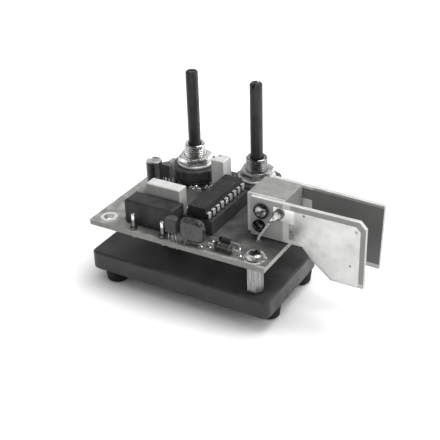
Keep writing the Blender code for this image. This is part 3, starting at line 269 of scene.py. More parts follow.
def finish(look, colour, roughness, metallic=0.0, specular=0.5, cloud=(0.25, 0.12),
           grain=(6.0, 0.006), spread=0.12, edge=0.10, wear_and_highlight=None, painted_shade=0.0, reach=0.7,
           relief=None, dust=0.0, glossy=False):
    """Give a look its colour, roughness and bumps, and return its material.

    Pairs are a scale and an amount for the clouds and the grain, a colour and a share for the
    lighter edges (worn edges and a painted rim highlight), and a height and a depth for the relief.
    Corners and recesses get painted shade within the reach. Lengths are in millimetres.
    """
    clouds = look.noise(cloud[0], 4.0)
    colour = look.varied(colour, clouds, 1.0 - cloud[1], 1.0 + cloud[1], 0.3, 0.7)
    normal, rim = look.edges(edge) if edge else (None, None)
    if wear_and_highlight is not None:
        # Lighter edges: partly worn edges, partly a painted rim highlight.
        patchy = look.both(rim, look.ramp(look.noise(1.1, 5.0, shift=7.0), 0.35, 0.65))
        colour = look.mix(look.both(patchy, wear_and_highlight[1]), colour, wear_and_highlight[0])
    # Painted shade: the colour darkens in corners and recesses, by how closed in they are within
    # the reach.
    if painted_shade:
        colour = look.varied(colour, look.shelter(reach), 1.0 - painted_shade, 1.0, 0.15, 0.85)
    if dust:
        specks = look.both(look.ramp(look.cells(1.3, shift=2.0), 0.10, 0.04),
                           look.ramp(look.noise(0.3, 2.0, shift=5.0), 0.45, 0.6))
        colour = look.mix(look.both(specks, dust), colour, (0.45, 0.45, 0.44))
    look.set("Base Color", colour)
    uneven = look.ramp(look.noise(cloud[0] * 3.0, 5.0, shift=3.0), 0.3, 0.7, -spread, spread)
    dull = not isinstance(roughness, float) or roughness > SATIN
    least = SATIN if dull and not glossy else 0.0
    uneven = look.math("ADD", roughness, uneven, clamp=True)
    look.set("Roughness", look.math("MAXIMUM", uneven, least))
    look.set("Metallic", metallic)
    look.set("Specular IOR Level", specular)
    if relief is not None:
        normal = look.bump(relief[0], relief[1], normal)
    if grain[1]:
        normal = look.bump(look.noise(grain[0], 2.0), grain[1], normal)
    if normal is not None:
        look.set("Normal", normal)
    return look.material


def dress(nodes, material):
    """Put a material into the slots of CAD nodes."""
    for name in nodes:
        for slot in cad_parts[name].material_slots:
            slot.material = material


def leaded(look, body, body_rough, mask, lead=TIN, lead_rough=0.28):
    """Colour, roughness and metal for a part whose leads are told apart by a mask."""
    # Painted shade: leads darker under the board.
    lead = look.shade(lead, look.ramp(look.z, *UNDER_BOARD_LEAD_SHADE))
    return look.mix(mask, body, lead), look.blend(mask, body_rough, lead_rough), mask


def named(*parts):
    """The CAD nodes whose names hold one of these parts."""
    return [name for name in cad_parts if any(part in name for part in parts)]


# Base, feet, standoffs and screws
look = Look("black_paint")
# Painted light: the top faces lighter than the sides, to make up for the board's shade over them.
colour = look.mix(look.faces(look.nz), (0.031, 0.031, 0.032), (0.060, 0.060, 0.061))
dress(["base_block"],
      finish(look, colour, 0.36, specular=0.45, cloud=(0.12, 0.25), grain=(2.2, 0.012), spread=0.10,
             edge=0.35, wear_and_highlight=((0.07, 0.07, 0.07), 0.4), relief=(look.noise(0.35, 2.0), 0.05),
             dust=0.12))
look = Look("foot_rubber")
dress(named("foot_"),
      finish(look, (0.014, 0.014, 0.014), 0.75, specular=0.3, cloud=(0.5, 0.3), grain=(5.0, 0.03),
             edge=0.25, dust=0.4))
look = Look("standoff_plating")
drawn = look.noise(3.0, 4.0, (1.0, 1.0, 0.04))
colour = look.varied((0.34, 0.34, 0.335), drawn, 0.62, 1.25)
dress(named("standoff_"),
      finish(look, colour, 0.38, 0.8, cloud=(0.5, 0.15), grain=(4.0, 0.006), edge=0.2,
             relief=(drawn, 0.02), painted_shade=0.4))
look = Look("plated_screws")
# Painted reflection: the board screws' heads dark in the middle and light round the edge, with
# painted glints.
painted_dark_centres = [look.spot(look.x, look.y, middle("board_screw_" + name).xy, HEAD_RADIUS, 0.3)
        for name in ("front_right", "left", "rear")]
painted_glints = look.ramp(look.noise(0.42, 2.0, shift=1.7), 0.42, 0.62, 0.30, 1.3)
painted_glints = look.both(painted_glints, look.where(look.either(*painted_dark_centres), 0.30))
dress(named("board_screw", "base_screw"),
      finish(look, look.shade((0.86, 0.86, 0.85), painted_glints), 0.2, 0.6, cloud=(0.9, 0.2),
             grain=(1.2, 0.03), edge=0.22, painted_shade=0.85, reach=1.1))
look = Look("plate_screws_painted_glints")
# Painted reflection: the plate screws dark round the edge of the head, with painted glints; the
# lower one darker.
inside = look.either(look.spot(look.x, look.z, UPPER_SCREW, HEAD_RADIUS, 0.2),
                     look.spot(look.x, look.z, LOWER_SCREW, SMALL_HEAD_RADIUS, 0.2))
painted_glints = look.ramp(look.noise(0.55, 3.0, shift=4.2), 0.42, 0.62, 0.18, 0.75)
lower = look.ramp(look.z, 6.4, 6.8, 0.45, 1.0)
tone = look.both(look.blend(inside, 0.06, painted_glints), lower)
dress(named("plate_screw"),
      finish(look, look.shade((0.80, 0.80, 0.79), tone), 0.26, 0.9, cloud=(0.9, 0.2),
             grain=(1.2, 0.03), edge=0.2, painted_shade=0.85, reach=0.8))

# Insulating block, wires, studs and terminals
look = Look("grey_block")
milled = look.noise(1.5, 3.0, (0.15, 1.0, 1.0))
# Painted light: the front and back faces lighter than the top and ends, to make up for the shade
# they stand in.
colour = look.mix(look.broad(look.ny), (0.31, 0.31, 0.305), (0.92, 0.92, 0.91))
dress(["insulating_block"],
      finish(look, colour, 0.42, specular=0.3, cloud=(0.30, 0.13), grain=(3.0, 0.006), edge=0.25,
             wear_and_highlight=((0.60, 0.60, 0.59), 0.7), relief=(milled, 0.02), dust=0.2))
look = Look("tinned_wire")
dress(named("touch_wire"),
      finish(look, (0.97, 0.97, 0.96), 0.30, 0.25, cloud=(1.2, 0.08), grain=(3.0, 0.008), edge=0.0))
look = Look("solder_stud")
# Painted light and shade: a bright centre on the stud inside a dark ring.
painted_bright_centre = look.spot(look.x, look.z, STUD, BOSS_RADIUS, 0.2)
dress(named("contact_stud"),
      finish(look, look.shade((0.96, 0.96, 0.95), look.blend(painted_bright_centre, 0.14, 1.0)), 0.28, 0.5,
             cloud=(1.2, 0.15), grain=(1.5, 0.03), edge=0.2, painted_shade=0.4))
look = Look("tinned_terminal")
shaded = look.ramp(look.z, 3.0, 3.9, 0.22, 1.0)
dress(named("terminal_pin"),
      finish(look, look.shade(TIN, shaded), 0.26, 0.9, cloud=(1.2, 0.15), grain=(3.0, 0.02),
             edge=0.15, painted_shade=0.3))

# Chip, socket and relay
look = Look("chip_moulding")
centre = middle("keyer_chip")
aside = look.math("ABSOLUTE", look.less(look.x, centre.x))
mask = look.math("GREATER_THAN", aside, CHIP_HALF)
# Painted light and shade: the chip's leads bright at their shoulders and darker lower down.
fade = look.ramp(look.z, 4.3, 6.2, 0.25, 1.0)
lead = look.shade((0.92, 0.92, 0.91), fade)
colour, rough, metal = leaded(look, (0.030, 0.030, 0.031), 0.50, mask, lead, 0.34)
top = look.ramp(look.nz, 0.5, 0.9)
dimple = look.spot(look.x, look.y, (centre.x - 1.9, span("keyer_chip")[0].y + 1.6), 0.45, 0.15)
# Lighter streaks on the chip's top: scuffing, and painted sheen.
scuffs_and_sheen = look.ramp(look.noise(0.9, 5.0, (1.0, 0.25, 1.0), 4.0), 0.55, 0.75)
colour = look.mix(look.both(scuffs_and_sheen, top, 0.35), colour, (0.16, 0.16, 0.16))
dress(["keyer_chip"],
      finish(look, colour, rough, look.both(metal, 0.5), 0.25, cloud=(0.25, 0.15),
             grain=(7.0, 0.012), edge=0.12, painted_shade=0.4,
             relief=(look.rest(look.both(dimple, top)), 0.15)))
look = Look("socket_plastic")
colour, rough, metal = leaded(look, (0.060, 0.060, 0.061), 0.42, look.below(LEAD_TOP))
dress(["chip_socket"],
      finish(look, colour, rough, metal, 0.3, grain=(4.0, 0.006), edge=0.12, painted_shade=0.4))
look = Look("relay_plastic")
colour, rough, metal = leaded(look, (0.042, 0.042, 0.043), 0.42, look.below(LEAD_TOP))
dress(["reed_relay"],
      finish(look, colour, rough, metal, 0.25, cloud=(0.3, 0.25), grain=(4.5, 0.012), edge=0.3,
             wear_and_highlight=((0.12, 0.12, 0.12), 0.7), dust=0.3))

# Boxed and round parts
look = Look("film_box")
sink = look.spot(look.x, look.y, (centre.x - 13.8, 12.6), 0.9, 0.3)
# Painted light: the top lighter than the sides, where the light falls.
box = look.mix(look.faces(look.nz), (0.49, 0.49, 0.48), (0.70, 0.70, 0.69))
colour, rough, metal = leaded(look, box, 0.34, look.below(LEAD_TOP))
dress(["film_capacitor"],
      finish(look, colour, rough, metal, 0.4, cloud=(0.35, 0.07), grain=(2.0, 0.012), edge=0.3,
             wear_and_highlight=((0.85, 0.85, 0.84), 0.8), painted_shade=0.25, relief=(look.rest(sink), 0.06)))
look = Look("white_box")
lo, hi = span("white_capacitor")
stain = look.both(look.spot(look.x, look.y, (lo.x + 1.3, hi.y - 1.5), 0.45, 0.25),
                  look.ramp(look.nz, 0.5, 0.9))
# Painted light: the faces toward the right lighter than the rest, where the light falls.
box = look.mix(look.faces(look.nx), (0.76, 0.76, 0.75), (0.97, 0.97, 0.96))
box = look.mix(stain, box, (0.16, 0.16, 0.16))
colour, rough, metal = leaded(look, box, 0.36, look.below(LEAD_TOP))
dress(["white_capacitor"],
      finish(look, colour, rough, metal, 0.4, cloud=(0.35, 0.06), grain=(2.0, 0.010), edge=0.3,
             painted_shade=0.3))
look = Look("can_sleeve")
can = middle("electrolytic_capacitor")
angle = look.math("ARCTAN2", look.less(look.y, can.y), look.less(look.x, can.x))
stripe = look.within(angle, -0.62, 0.30, 0.02)
mask = look.either(look.below(LEAD_TOP), look.ramp(look.z, *CAN_END))
score = look.either(look.within(look.x, can.x, 0.08, 0.04),
                    look.within(look.y, can.y, 0.08, 0.04))
sleeve = look.mix(stripe, (0.030, 0.030, 0.032), (0.11, 0.11, 0.112))
# Painted shade: the scored vent's grooves darker, on the top.
cut = look.both(score, look.ramp(look.z, 10.4, 10.7))
cap = look.shade((0.78, 0.78, 0.77), look.where(cut, 0.25))
colour, rough, metal = leaded(look, sleeve, 0.26, mask, cap, 0.34)
dress(["electrolytic_capacitor"],
      finish(look, colour, rough, metal, 0.35, grain=(2.5, 0.008), edge=0.25,
             relief=(look.rest(score), 0.1), glossy=True))
look = Look("transistor_moulding")
# Painted shade: the legs darker up under the bodies.
legs = look.shade(TIN, look.ramp(look.z, 0.3, 2.8, 0.75, 0.10))
# Painted light: the rear transistor lighter than the front one, to make up for the shade it stands
# in.
moulding = look.mix(look.ramp(look.y, 15.0, 16.0), (0.072, 0.072, 0.074), (0.13, 0.13, 0.132))
colour, rough, metal = leaded(look, moulding, 0.42, look.below(LEG_TOP), legs)
dress(["rear_transistor", "front_transistor"],
      finish(look, colour, rough, metal, 0.35, grain=(6.0, 0.012), edge=0.15,
             wear_and_highlight=((0.14, 0.14, 0.14), 0.6)))
look = Look("dipped_resin")
colour, rough, metal = leaded(look, (0.052, 0.050, 0.048), 0.15, look.below(DIP_TOP))
# Its lighter edges are a painted rim highlight along the top and the right.
dress(["dipped_capacitor"],
      finish(look, colour, rough, metal, 0.6, cloud=(0.6, 0.4), grain=(0.9, 0.05), edge=0.3,
             wear_and_highlight=((0.42, 0.42, 0.41), 0.9), relief=(look.noise(0.45, 2.0, shift=1.0), 0.25),
             glossy=True))
look = Look("diode_glass")
across = look.less(look.x, middle("diode").x)
barrel = look.both(look.within(across, 0.0, GLASS_HALF), look.above(WIRE_TOP))
band = look.within(across, -1.45, 0.35, 0.04)
glass = look.mix(band, (0.034, 0.031, 0.029), (0.010, 0.010, 0.010))
colour, rough, metal = leaded(look, glass, 0.07, look.rest(barrel))
dress(["diode"], finish(look, colour, rough, metal, 0.6, grain=(2.0, 0.006), glossy=True))
look = Look("resistor_lacquer")
across = look.less(look.x, middle("resistor").x)
barrel = look.both(look.within(across, 0.0, LACQUER_HALF), look.above(WIRE_TOP))
lacquer = (0.050, 0.052, 0.055)
for place, tone in ((-2.2, (0.016, 0.014, 0.014)), (-1.2, (0.050, 0.042, 0.038)),
                    (-0.2, (0.072, 0.058, 0.046)), (2.1, (0.12, 0.112, 0.092))):
    lacquer = look.mix(look.within(across, place, 0.30), lacquer, tone)
colour, rough, metal = leaded(look, lacquer, 0.26, look.rest(barrel))
dress(["resistor"],
      finish(look, colour, rough, metal, 0.5, grain=(2.0, 0.012), painted_shade=0.3, glossy=True))

# Controls
look = Look("control_case")
dress(["left_case", "right_case"],
      finish(look, (0.075, 0.075, 0.076), 0.42, specular=0.3, cloud=(0.4, 0.25), grain=(5.0, 0.012),
             edge=0.25, wear_and_highlight=((0.13, 0.13, 0.13), 0.6), dust=0.3))
look = Look("control_metal")
# Painted shade: the right control's nut darker than the left's.
painted_right_shade = look.ramp(look.x, *CONTROLS_SPLIT, 1.0, 0.62)
dress(named("_nut"),
      finish(look, look.shade((0.88, 0.88, 0.87), painted_right_shade), 0.14, 0.9, cloud=(0.35, 0.35),
             grain=(0.8, 0.03), edge=0.2, painted_shade=0.5))
look = Look("washer_metal")
dress(named("_washer"),
      finish(look, (0.95, 0.95, 0.94), 0.30, 0.15, cloud=(0.5, 0.15), grain=(1.2, 0.02), edge=0.15,
             painted_shade=0.1))
look = Look("zinc_bushing")
# Painted shade: the right control's bushing darker than the left's.
painted_right_shade = look.ramp(look.x, *CONTROLS_SPLIT, 1.0, 0.48)
THREAD = finish(look, look.shade((0.76, 0.76, 0.75), painted_right_shade), 0.13, 1.0, cloud=(0.5, 0.3),
                grain=(1.2, 0.010), edge=0.0, painted_shade=0.7, reach=0.4)
look = Look("shaft_plastic")
colour = look.varied((0.036, 0.036, 0.037), look.noise(0.9, 3.0, (1.0, 1.0, 0.06)), 0.7, 1.35)
dress(["left_shaft", "right_shaft"],
      finish(look, colour, 0.38, specular=0.3, cloud=(0.2, 0.25), grain=(3.5, 0.0), edge=0.0))
look = Look("wafer_phenolic")
far = []
for side in ("left", "right"):
    centre = middle(side + "_case")
    far.append(look.rest(look.spot(look.x, look.y, centre.xy, WAFER_RADIUS, 0.03)))
lugs = look.either(look.both(*far), look.below(LUG_TOP))
colour, rough, metal = leaded(look, (0.060, 0.052, 0.043), 0.5, lugs)
dress(["left_wafer", "right_wafer"],
      finish(look, colour, rough, metal, cloud=(0.6, 0.25), grain=(4.0, 0.012)))
look = Look("spring_brass")
dress(["left_wiper", "right_wiper"], finish(look, (0.70, 0.52, 0.25), 0.3, 1.0, cloud=(1.0, 0.2)))

# Circuit board: pale clear laminate along the left, ground copper below the rest
look = Look("board_laminate")
top = look.faces(look.nz)
flat = look.broad(look.nz)
wobble = look.ramp(look.noise(0.35, 3.0), 0.3, 0.7, -0.8, 0.8)
clear = look.ramp(look.math("ADD", look.x, wobble), 10.2, 8.6)
# Painted light: a paler band along the front and a patch toward the right front, to make up for the
# shade of the parts behind.
strip = look.ramp(look.math("ADD", look.y, look.both(wobble, 0.3)), 6.4, 4.2)
strip = look.either(look.both(strip, look.ramp(look.x, 13.0, 25.0, 1.0, 0.22)),
                    look.ramp(look.y, 1.4, 0.5),
                    look.both(look.spot(look.x, look.y, (50.0, 9.0), 2.0, 2.5), 0.45))
weave = look.either(look.noise(1.6, 1.0, (0.12, 1.0, 1.0)),
                    look.noise(1.6, 1.0, (1.0, 0.12, 1.0)))
dark = look.varied((0.104, 0.109, 0.104), look.noise(0.13, 4.0, shift=9.0), 0.6, 1.35)
dark = look.shade(dark, look.ramp(look.y, 16.0, 24.0, 1.0, 0.72))
pale = look.varied((0.33, 0.34, 0.32), look.noise(0.3, 4.0, shift=6.0), 0.75, 1.25)
pale = look.shade(pale, look.where(strip, 1.12))
face = look.mix(look.either(clear, strip), dark, pale)
face = look.varied(face, weave, 0.94, 1.08, 0.5, 0.75)
layers = look.noise(2.0, 3.0, (0.3, 0.3, 3.0))
side_tone = look.varied((0.42, 0.43, 0.40), layers, 0.8, 1.2, 0.3, 0.7)
under = look.varied((0.10, 0.11, 0.10), look.noise(0.2, 3.0), 0.8, 1.2)
ring = look.spot(look.x, look.y, BARE_HOLE, PAD_RADIUS, 0.08)
seat = look.spot(look.x, look.y, CORNER_SCREW, SEAT_RADIUS, 0.08)
pads = look.either(ring, look.both(seat, flat))
bare = look.mix(flat, side_tone, look.mix(top, under, face))
blotch = look.ramp(look.noise(0.5, 3.0, shift=3.1), 0.42, 0.6, 0.25, 1.0)
# Painted shade: the bare hole's wall a little darker.
wall = look.both(ring, look.rest(flat))
blotch = look.both(look.either(blotch, clear), look.where(wall, 0.8))
tinned = look.shade((0.88, 0.88, 0.87), blotch)
colour = look.mix(pads, bare, tinned)
dress(["circuit_board"],
      finish(look, colour, look.blend(pads, 0.40, 0.34), look.both(pads, 0.3), 0.28,
             cloud=(0.08, 0.12), grain=(1.2, 0.012), edge=0.15, wear_and_highlight=((0.60, 0.60, 0.58), 0.6),
             painted_shade=0.15, reach=1.5, relief=(look.math("ADD", weave, look.both(pads, 3.0)), 0.02),
             dust=0.35))

# Touch plates: tinned foil on clear laminate. The laminate is painted pale where light shines
# through it, and painted dark where the foil behind it blocks that light.
# On a plate, u runs from its fixed end and w up from the board, set back by the rear plate's droop.
FOIL_LEFT, FOIL_RIGHT, FOIL_TOP, FOIL_CORNER = 7.5, 34.7, 11.65, 44.95
REAR_RIGHT, REAR_TOP, REAR_CORNER = 1.5, 0.7, 6.0   # how much further the rear foil reaches
# The foil's lower edge steps down past the neck, then slopes twice: a span of u, and heights
FRONT_STEP, REAR_STEP = (12.65, 12.75, 7.5, 2.0), (13.6, 13.7, 8.9, 2.0)
FIRST_SLOPE, SECOND_SLOPE = (17.7, 22.1, 0.0, 4.8), (22.1, 27.0, 0.0, 4.0)
FRONT_LOWER = 1.15              # how much lower the front foil ends
FRONT_FACE, REAR_FACE, BETWEEN = 14.68, 29.52, 22.0     # y where the foils are, and between plates
DROOP, DROOP_FROM = math.radians(1.7), 3.4
look = Look("touch_laminate")
rear = look.math("GREATER_THAN", look.y, BETWEEN)
left = span("front_plate")[0].x
u = look.less(look.x, left)
lift = look.both(rear, look.less(u, DROOP_FROM), math.tan(DROOP))
w = look.math("ADD", look.z, lift)
step = look.blend(rear, look.ramp(u, *FRONT_STEP), look.ramp(u, *REAR_STEP))
slope = look.less(step, look.ramp(u, *FIRST_SLOPE, "LINEAR"))
slope = look.less(slope, look.ramp(u, *SECOND_SLOPE, "LINEAR"))
lower = look.less(slope, look.both(look.rest(rear), look.ramp(u, 14.0, 17.0), FRONT_LOWER))
corner = look.less(look.math("ADD", u, w), look.both(rear, REAR_CORNER))
foil = look.both(look.past(look.less(w, lower), 0.0), look.past(u, FOIL_LEFT),
                 look.short(look.less(w, look.both(rear, REAR_TOP)), FOIL_TOP),
                 look.short(look.less(u, look.both(rear, REAR_RIGHT)), FOIL_RIGHT),
                 look.short(corner, FOIL_CORNER))
outward = look.faces(look.both(look.ny, look.less(look.both(rear, 2.0), 1.0)))
tinned = look.either(look.math("LESS_THAN", look.y, FRONT_FACE),
                     look.math("GREATER_THAN", look.y, REAR_FACE), look.both(foil, outward))
backed = look.ramp(u, 10.9, 10.2)
# Painted light: laminate pale where light shines through it from behind; painted shade where the
# foil blocks it.
lit = look.either(look.ramp(look.less(u, rear), 13.2, 12.6),
                  look.ramp(look.less(w, slope), 0.4, -0.4))
plain = look.mix(lit, (0.50, 0.505, 0.49), (0.95, 0.95, 0.93))
plain = look.mix(backed, plain, (0.56, 0.56, 0.55))
plain = look.mix(look.both(foil, look.rest(tinned)), plain, (0.245, 0.247, 0.242))
layers = look.noise(1.5, 3.0, (0.2, 2.0, 1.0))
edge_tone = look.varied((0.62, 0.62, 0.60), layers, 0.85, 1.2, 0.3, 0.7)
plain = look.mix(look.broad(look.ny), edge_tone, plain)
mottle = look.ramp(look.noise(0.28, 4.0, shift=2.5), 0.35, 0.65, 0.94, 1.03)
specks = look.ramp(look.cells(0.55, shift=3.3), 0.12, 0.05, 1.0, 0.72)
stains = look.either(look.spot(u, w, (32.0, -1.6), 0.35, 0.25),
                     look.spot(u, w, (17.3, 10.9), 0.35, 0.25),
                     look.both(look.spot(u, w, (15.0, 5.2), 0.9, 1.6), 0.42),
                     look.both(look.spot(u, w, (13.1, 4.6), 0.3, 0.4), 0.7),
                     look.both(look.spot(u, w, (33.4, 9.9), 0.5, 0.4), 0.6))
neck = look.both(look.ramp(u, 16.0, 13.6), look.ramp(w, 6.2, 7.6))
mottle = look.either(mottle, look.both(neck, 1.58))
stained = look.both(mottle, specks, look.where(stains, 0.25))
metal_tone = look.shade((0.64, 0.64, 0.63), stained)
colour = look.mix(tinned, plain, metal_tone)
scratch = look.noise(0.9, 5.0, (1.0, 1.0, 0.2), 8.0)
dress(["front_plate", "rear_plate"],
      finish(look, colour, look.blend(tinned, 0.34, 0.30), look.both(tinned, 0.85), 0.3,
             cloud=(0.15, 0.05), grain=(1.3, 0.005), edge=0.12, relief=(scratch, 0.006), dust=0.1))


# Shapes added to the key: threads, solder and traces
def publish(name, bm, material, smooth=True):
    """Turn a mesh in board millimetres into a piece that rides on the key."""
    bmesh.ops.recalc_face_normals(bm, faces=bm.faces)
    mesh = bpy.data.meshes.new(name)
    for vertex in bm.verts:
        vertex.co = at(*vertex.co)
    for face in bm.faces:
        face.smooth = smooth
    bm.to_mesh(mesh)
    bm.free()
    mesh.materials.append(material)
    thing = bpy.data.objects.new(name, mesh)
    bpy.context.scene.collection.objects.link(thing)
    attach(thing, BODY)
    return thing


def loft(bm, rings, closed=False):
    """Join rings of points with quads, and cap the ends unless the loft is closed."""
    rows = [[bm.verts.new(point) for point in ring] for ring in rings]
    for a, b in zip(rows, rows[1:] + rows[:1] if closed else rows[1:]):
        for i in range(len(a)):
            j = (i + 1) % len(a)
            bm.faces.new((a[i], a[j], b[j], b[i]))
    if not closed:
        bm.faces.new(rows[0][::-1])
        bm.faces.new(rows[-1])


def wrapped(x, y, ring):
    """Points round an upright axis, from the radius and height of each."""
    sides = len(ring)
    return [(x + r * math.cos(math.tau * i / sides), y + r * math.sin(math.tau * i / sides), z)
            for i, (r, z) in enumerate(ring)]


def turned(bm, x, y, profile, sides=14):
    """Turn a profile of radius and height round an upright axis."""
    loft(bm, [wrapped(x, y, [level] * sides) for level in profile])


def leads(node):
    """The places, in board millimetres, where a node's leads come out under the board."""
    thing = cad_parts[node]
    out, together = 0.1, 1.3        # points this far out count, and points this close are one lead
    groups = []
    for vertex in thing.data.vertices:
        point = (thing.matrix_world @ vertex.co - ORIGIN) / MM
        if point.z > UNDER - out:
            continue
        for group in groups:
            if (group[0].xy - point.xy).length < together:
                group.append(point)
                break
        else:
            groups.append([point])
    return sorted((round(sum(p.x for p in g) / len(g), 2), round(sum(p.y for p in g) / len(g), 2))
                  for g in groups)


def bushing(side):
    """The bushing with a metric fine thread cut into it."""
    node = side + "_bushing"
    lo, hi = span(node)
    x, y = middle(node).xy
    pitch, depth, radius, run_out = 0.75, 0.40, 3.5, 0.5
    bore, core, flange, thick, chamfer = 2.2, 3.2, 4.99, 0.6, 0.25
    sides, rows_per_turn = 40, 6
    neck, first, last = 5.4, 6.0, hi.z - 0.35   # heights of the plain neck's end and of the thread
    rows = int((last - first) / pitch * rows_per_turn)
    foot = [(bore, lo.z), (flange, lo.z), (flange, lo.z + thick), (core, lo.z + thick),
            (core, neck)]
    head = [(core, hi.z), (bore + chamfer, hi.z), (bore, hi.z - chamfer)]
    thread = []
    for row in range(rows + 1):
        z = first + (last - first) * row / rows
        fade = min(1.0, (last - z) / run_out)
        turns = [(z / pitch - i / sides) % 1.0 for i in range(sides)]
        thread.append([(radius - depth * fade * (1.0 - min(1.0, abs(2.0 * turn - 1.0) * 1.25)), z)
                       for turn in turns])
    rings = [[level] * sides for level in foot] + thread + [[level] * sides for level in head]
    bm = bmesh.new()
    loft(bm, [wrapped(x, y, ring) for ring in rings], closed=True)
    thing = publish(side + "_thread", bm, THREAD)
    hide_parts(node)


def bridges(bm, sides=16):
    """Solder that joins the end of each touch wire to its stud, as rings that lean over to it."""
    mirror = middle("front_touch_wire").y + middle("rear_touch_wire").y
    lean = 0.7
    lumps = [(56.05, 12.80, 7.20, 0.41), (56.35, 12.82, 7.55, 0.50), (56.80, 12.90, 8.02, 0.62),
             (57.25, 13.02, 8.48, 0.74), (57.70, 13.20, 8.95, 0.78), (58.05, 13.50, 9.30, 0.60)]
    for rear in (False, True):
        rings = []
        for x, y, z, radius in lumps:
            y = mirror - y if rear else y
            turns = [math.tau * i / sides for i in range(sides)]
            rings.append([(x - lean * radius * math.sin(turn), y + radius * math.cos(turn),
                           z + lean * radius * math.sin(turn)) for turn in turns])
        loft(bm, rings)


def solder():
    """Solder: domes under the board, fillets and lumps on top where they show, and the bridges."""
    bm = bmesh.new()
    bridges(bm)
    skipped = ["circuit_board", "base_block"] + named("standoff", "foot_", "_screw", "_plate")
    shown = named("diode", "resistor", "transistor", "dipped", "touch_wire", "_wafer")
    under = [(0.90, UNDER + 0.02), (0.90, UNDER - 0.06), (0.66, UNDER - 0.18), (0.50, UNDER - 0.42),
             (0.42, UNDER - 0.70), (0.30, UNDER - 0.90)]
    over = [(0.34, 0.45), (0.42, 0.28), (0.62, 0.12), (0.85, 0.05), (0.85, -0.02)]
    lump = [(0.30, 1.15), (0.62, 1.02), (0.84, 0.70), (0.98, 0.36), (1.25, 0.08), (1.25, -0.02)]
    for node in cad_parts:
        if node in skipped:
            continue
        for x, y in leads(node):
            turned(bm, x, y, under)
            if "wafer" in node:
                for aside, share in ((-1.6, 0.6), (0.0, 1.0), (1.6, 0.6)):
                    turned(bm, x + aside, y - 0.2 * abs(aside),
                           [(r * share, z * share) for r, z in lump])
            elif node in shown:
                turned(bm, x, y, over)
    look = Look("solder")
    material = finish(look, (0.78, 0.78, 0.77), 0.24, 1.0, cloud=(1.5, 0.2), grain=(2.5, 0.03),
                      edge=0.1, painted_shade=0.4)
    publish("solder_joints", bm, material)


def trace(bm, points, width=0.7):
    """A copper strip under the board along points, each stretch a thin bar."""
    top, bottom = UNDER - 0.01, UNDER - 0.06
    for (xa, ya), (xb, yb) in zip(points, points[1:]):
        run = Vector((xb - xa, yb - ya))
        if run.length < 0.01:
            continue
        run.normalize()
        side = Vector((-run.y, run.x)) * width / 2
        along = run * width / 2
        corners = [Vector((xa, ya)) - along - side, Vector((xb, yb)) + along - side,
                   Vector((xb, yb)) + along + side, Vector((xa, ya)) - along + side]
        loft(bm, [[(corner.x, corner.y, z) for corner in corners] for z in (top, bottom)])


def elbow(start, end):
    """A run from one joint to another with one slanting stretch in it."""
    (xa, ya), (xb, yb) = start, end
    cut = min(abs(xb - xa), abs(yb - ya))
    bend = (xb - math.copysign(cut, xb - xa), ya)
    return [start, bend, (xb, ya + math.copysign(cut, yb - ya)), end]


def traces():
    """The runs under the board between the chip, the controls and the small parts."""
    bm = bmesh.new()
    pins = leads("chip_socket")
    near, far = pins[:9], pins[9:]
    controls = leads("left_wafer") + leads("right_wafer")
    relay, film = leads("reed_relay"), leads("film_capacitor")
    small = leads("diode") + leads("resistor")
    joined = [(near[0], relay[-1]), (near[1], film[-1]), (near[3], film[0]),
              (near[5], leads("rear_transistor")[-1]), (near[7], controls[0]), (far[0], small[0]),
              (far[8], controls[-1]), (far[6], leads("rear_touch_wire")[0]),
              (far[2], leads("front_touch_wire")[0]), (leads("terminal_pin_left")[0], relay[0]),
              (leads("terminal_pin_right")[0], leads("front_transistor")[0]),
              (leads("front_transistor")[-1], leads("dipped_capacitor")[0]),
              (leads("dipped_capacitor")[-1], small[-1]),
              (leads("electrolytic_capacitor")[0], relay[1]),
              (leads("white_capacitor")[0], near[8])]
    for start, end in joined:
        trace(bm, elbow(start, end))
    inset = 1.4
    left, right, back = inset, BOARD.x - inset, BOARD.y - inset
    trace(bm, [(left, 8.0), (left, back), (right, back), (right, 9.0)], 1.4)
    look = Look("trace_copper")
    material = finish(look, (0.52, 0.50, 0.42), 0.34, 0.9, cloud=(0.5, 0.2), grain=(2.0, 0.012),
                      edge=0.04)
    publish("board_traces", bm, material, smooth=False)


for side in ("left", "right"):
    bushing(side)
solder()
traces()


# Floor, room, lamps and camera
SEEN = ("Is Camera Ray", "Is Glossy Ray", "Is Transmission Ray")
MIRRORED = SEEN[1:]
WHITE = (1.0, 1.0, 1.0)
THROWN = (0.45, 0.45, 0.45)             # the floor's tone in the light that it throws on the key
FLOOR_HALF = 3.0
CLOSE = 0.016                           # reach of the shadow that is kept under the key
FAR_GLOW = (0.25, 0.9, 0.0, 0.27)       # metres from the key, and the glow added there
OPEN_GLOW = (0.50, 0.98, 0.0, 0.28)     # openness of the floor, and the glow added there
ROOM_LIGHT = 0.48                       # strength of the even light on the key
FRONT = (0.485, -0.874, 0.0)            # the side that greys in reflections
LIT = Vector((0.0, 0.0, 0.02))          # the point that the lamps face

# The fitted camera: its place, its axes, its lens and how far it is shifted
EYE = (0.1229273, -0.2212666, 0.1672564)
RIGHT = Vector((0.86705528, 0.49743033, -0.02789653))
UP = Vector((-0.2283888, 0.44661257, 0.86508715))
LENS = 77.35
SHIFT = -0.0048


def path(tree, names):
    """1 for rays of the kinds that are named."""
    kinds = join(tree, "LightPath")
    total = kinds[names[0]]
    for name in names[1:]:
        total = join(tree, "Math", total, kinds[name], operation="MAXIMUM")[0]
    return total


def eased(tree, *values):
    """A value mapped from one span to another with soft ends."""
    return join(tree, "MapRange", *values, interpolation_type="SMOOTHSTEP")[0]


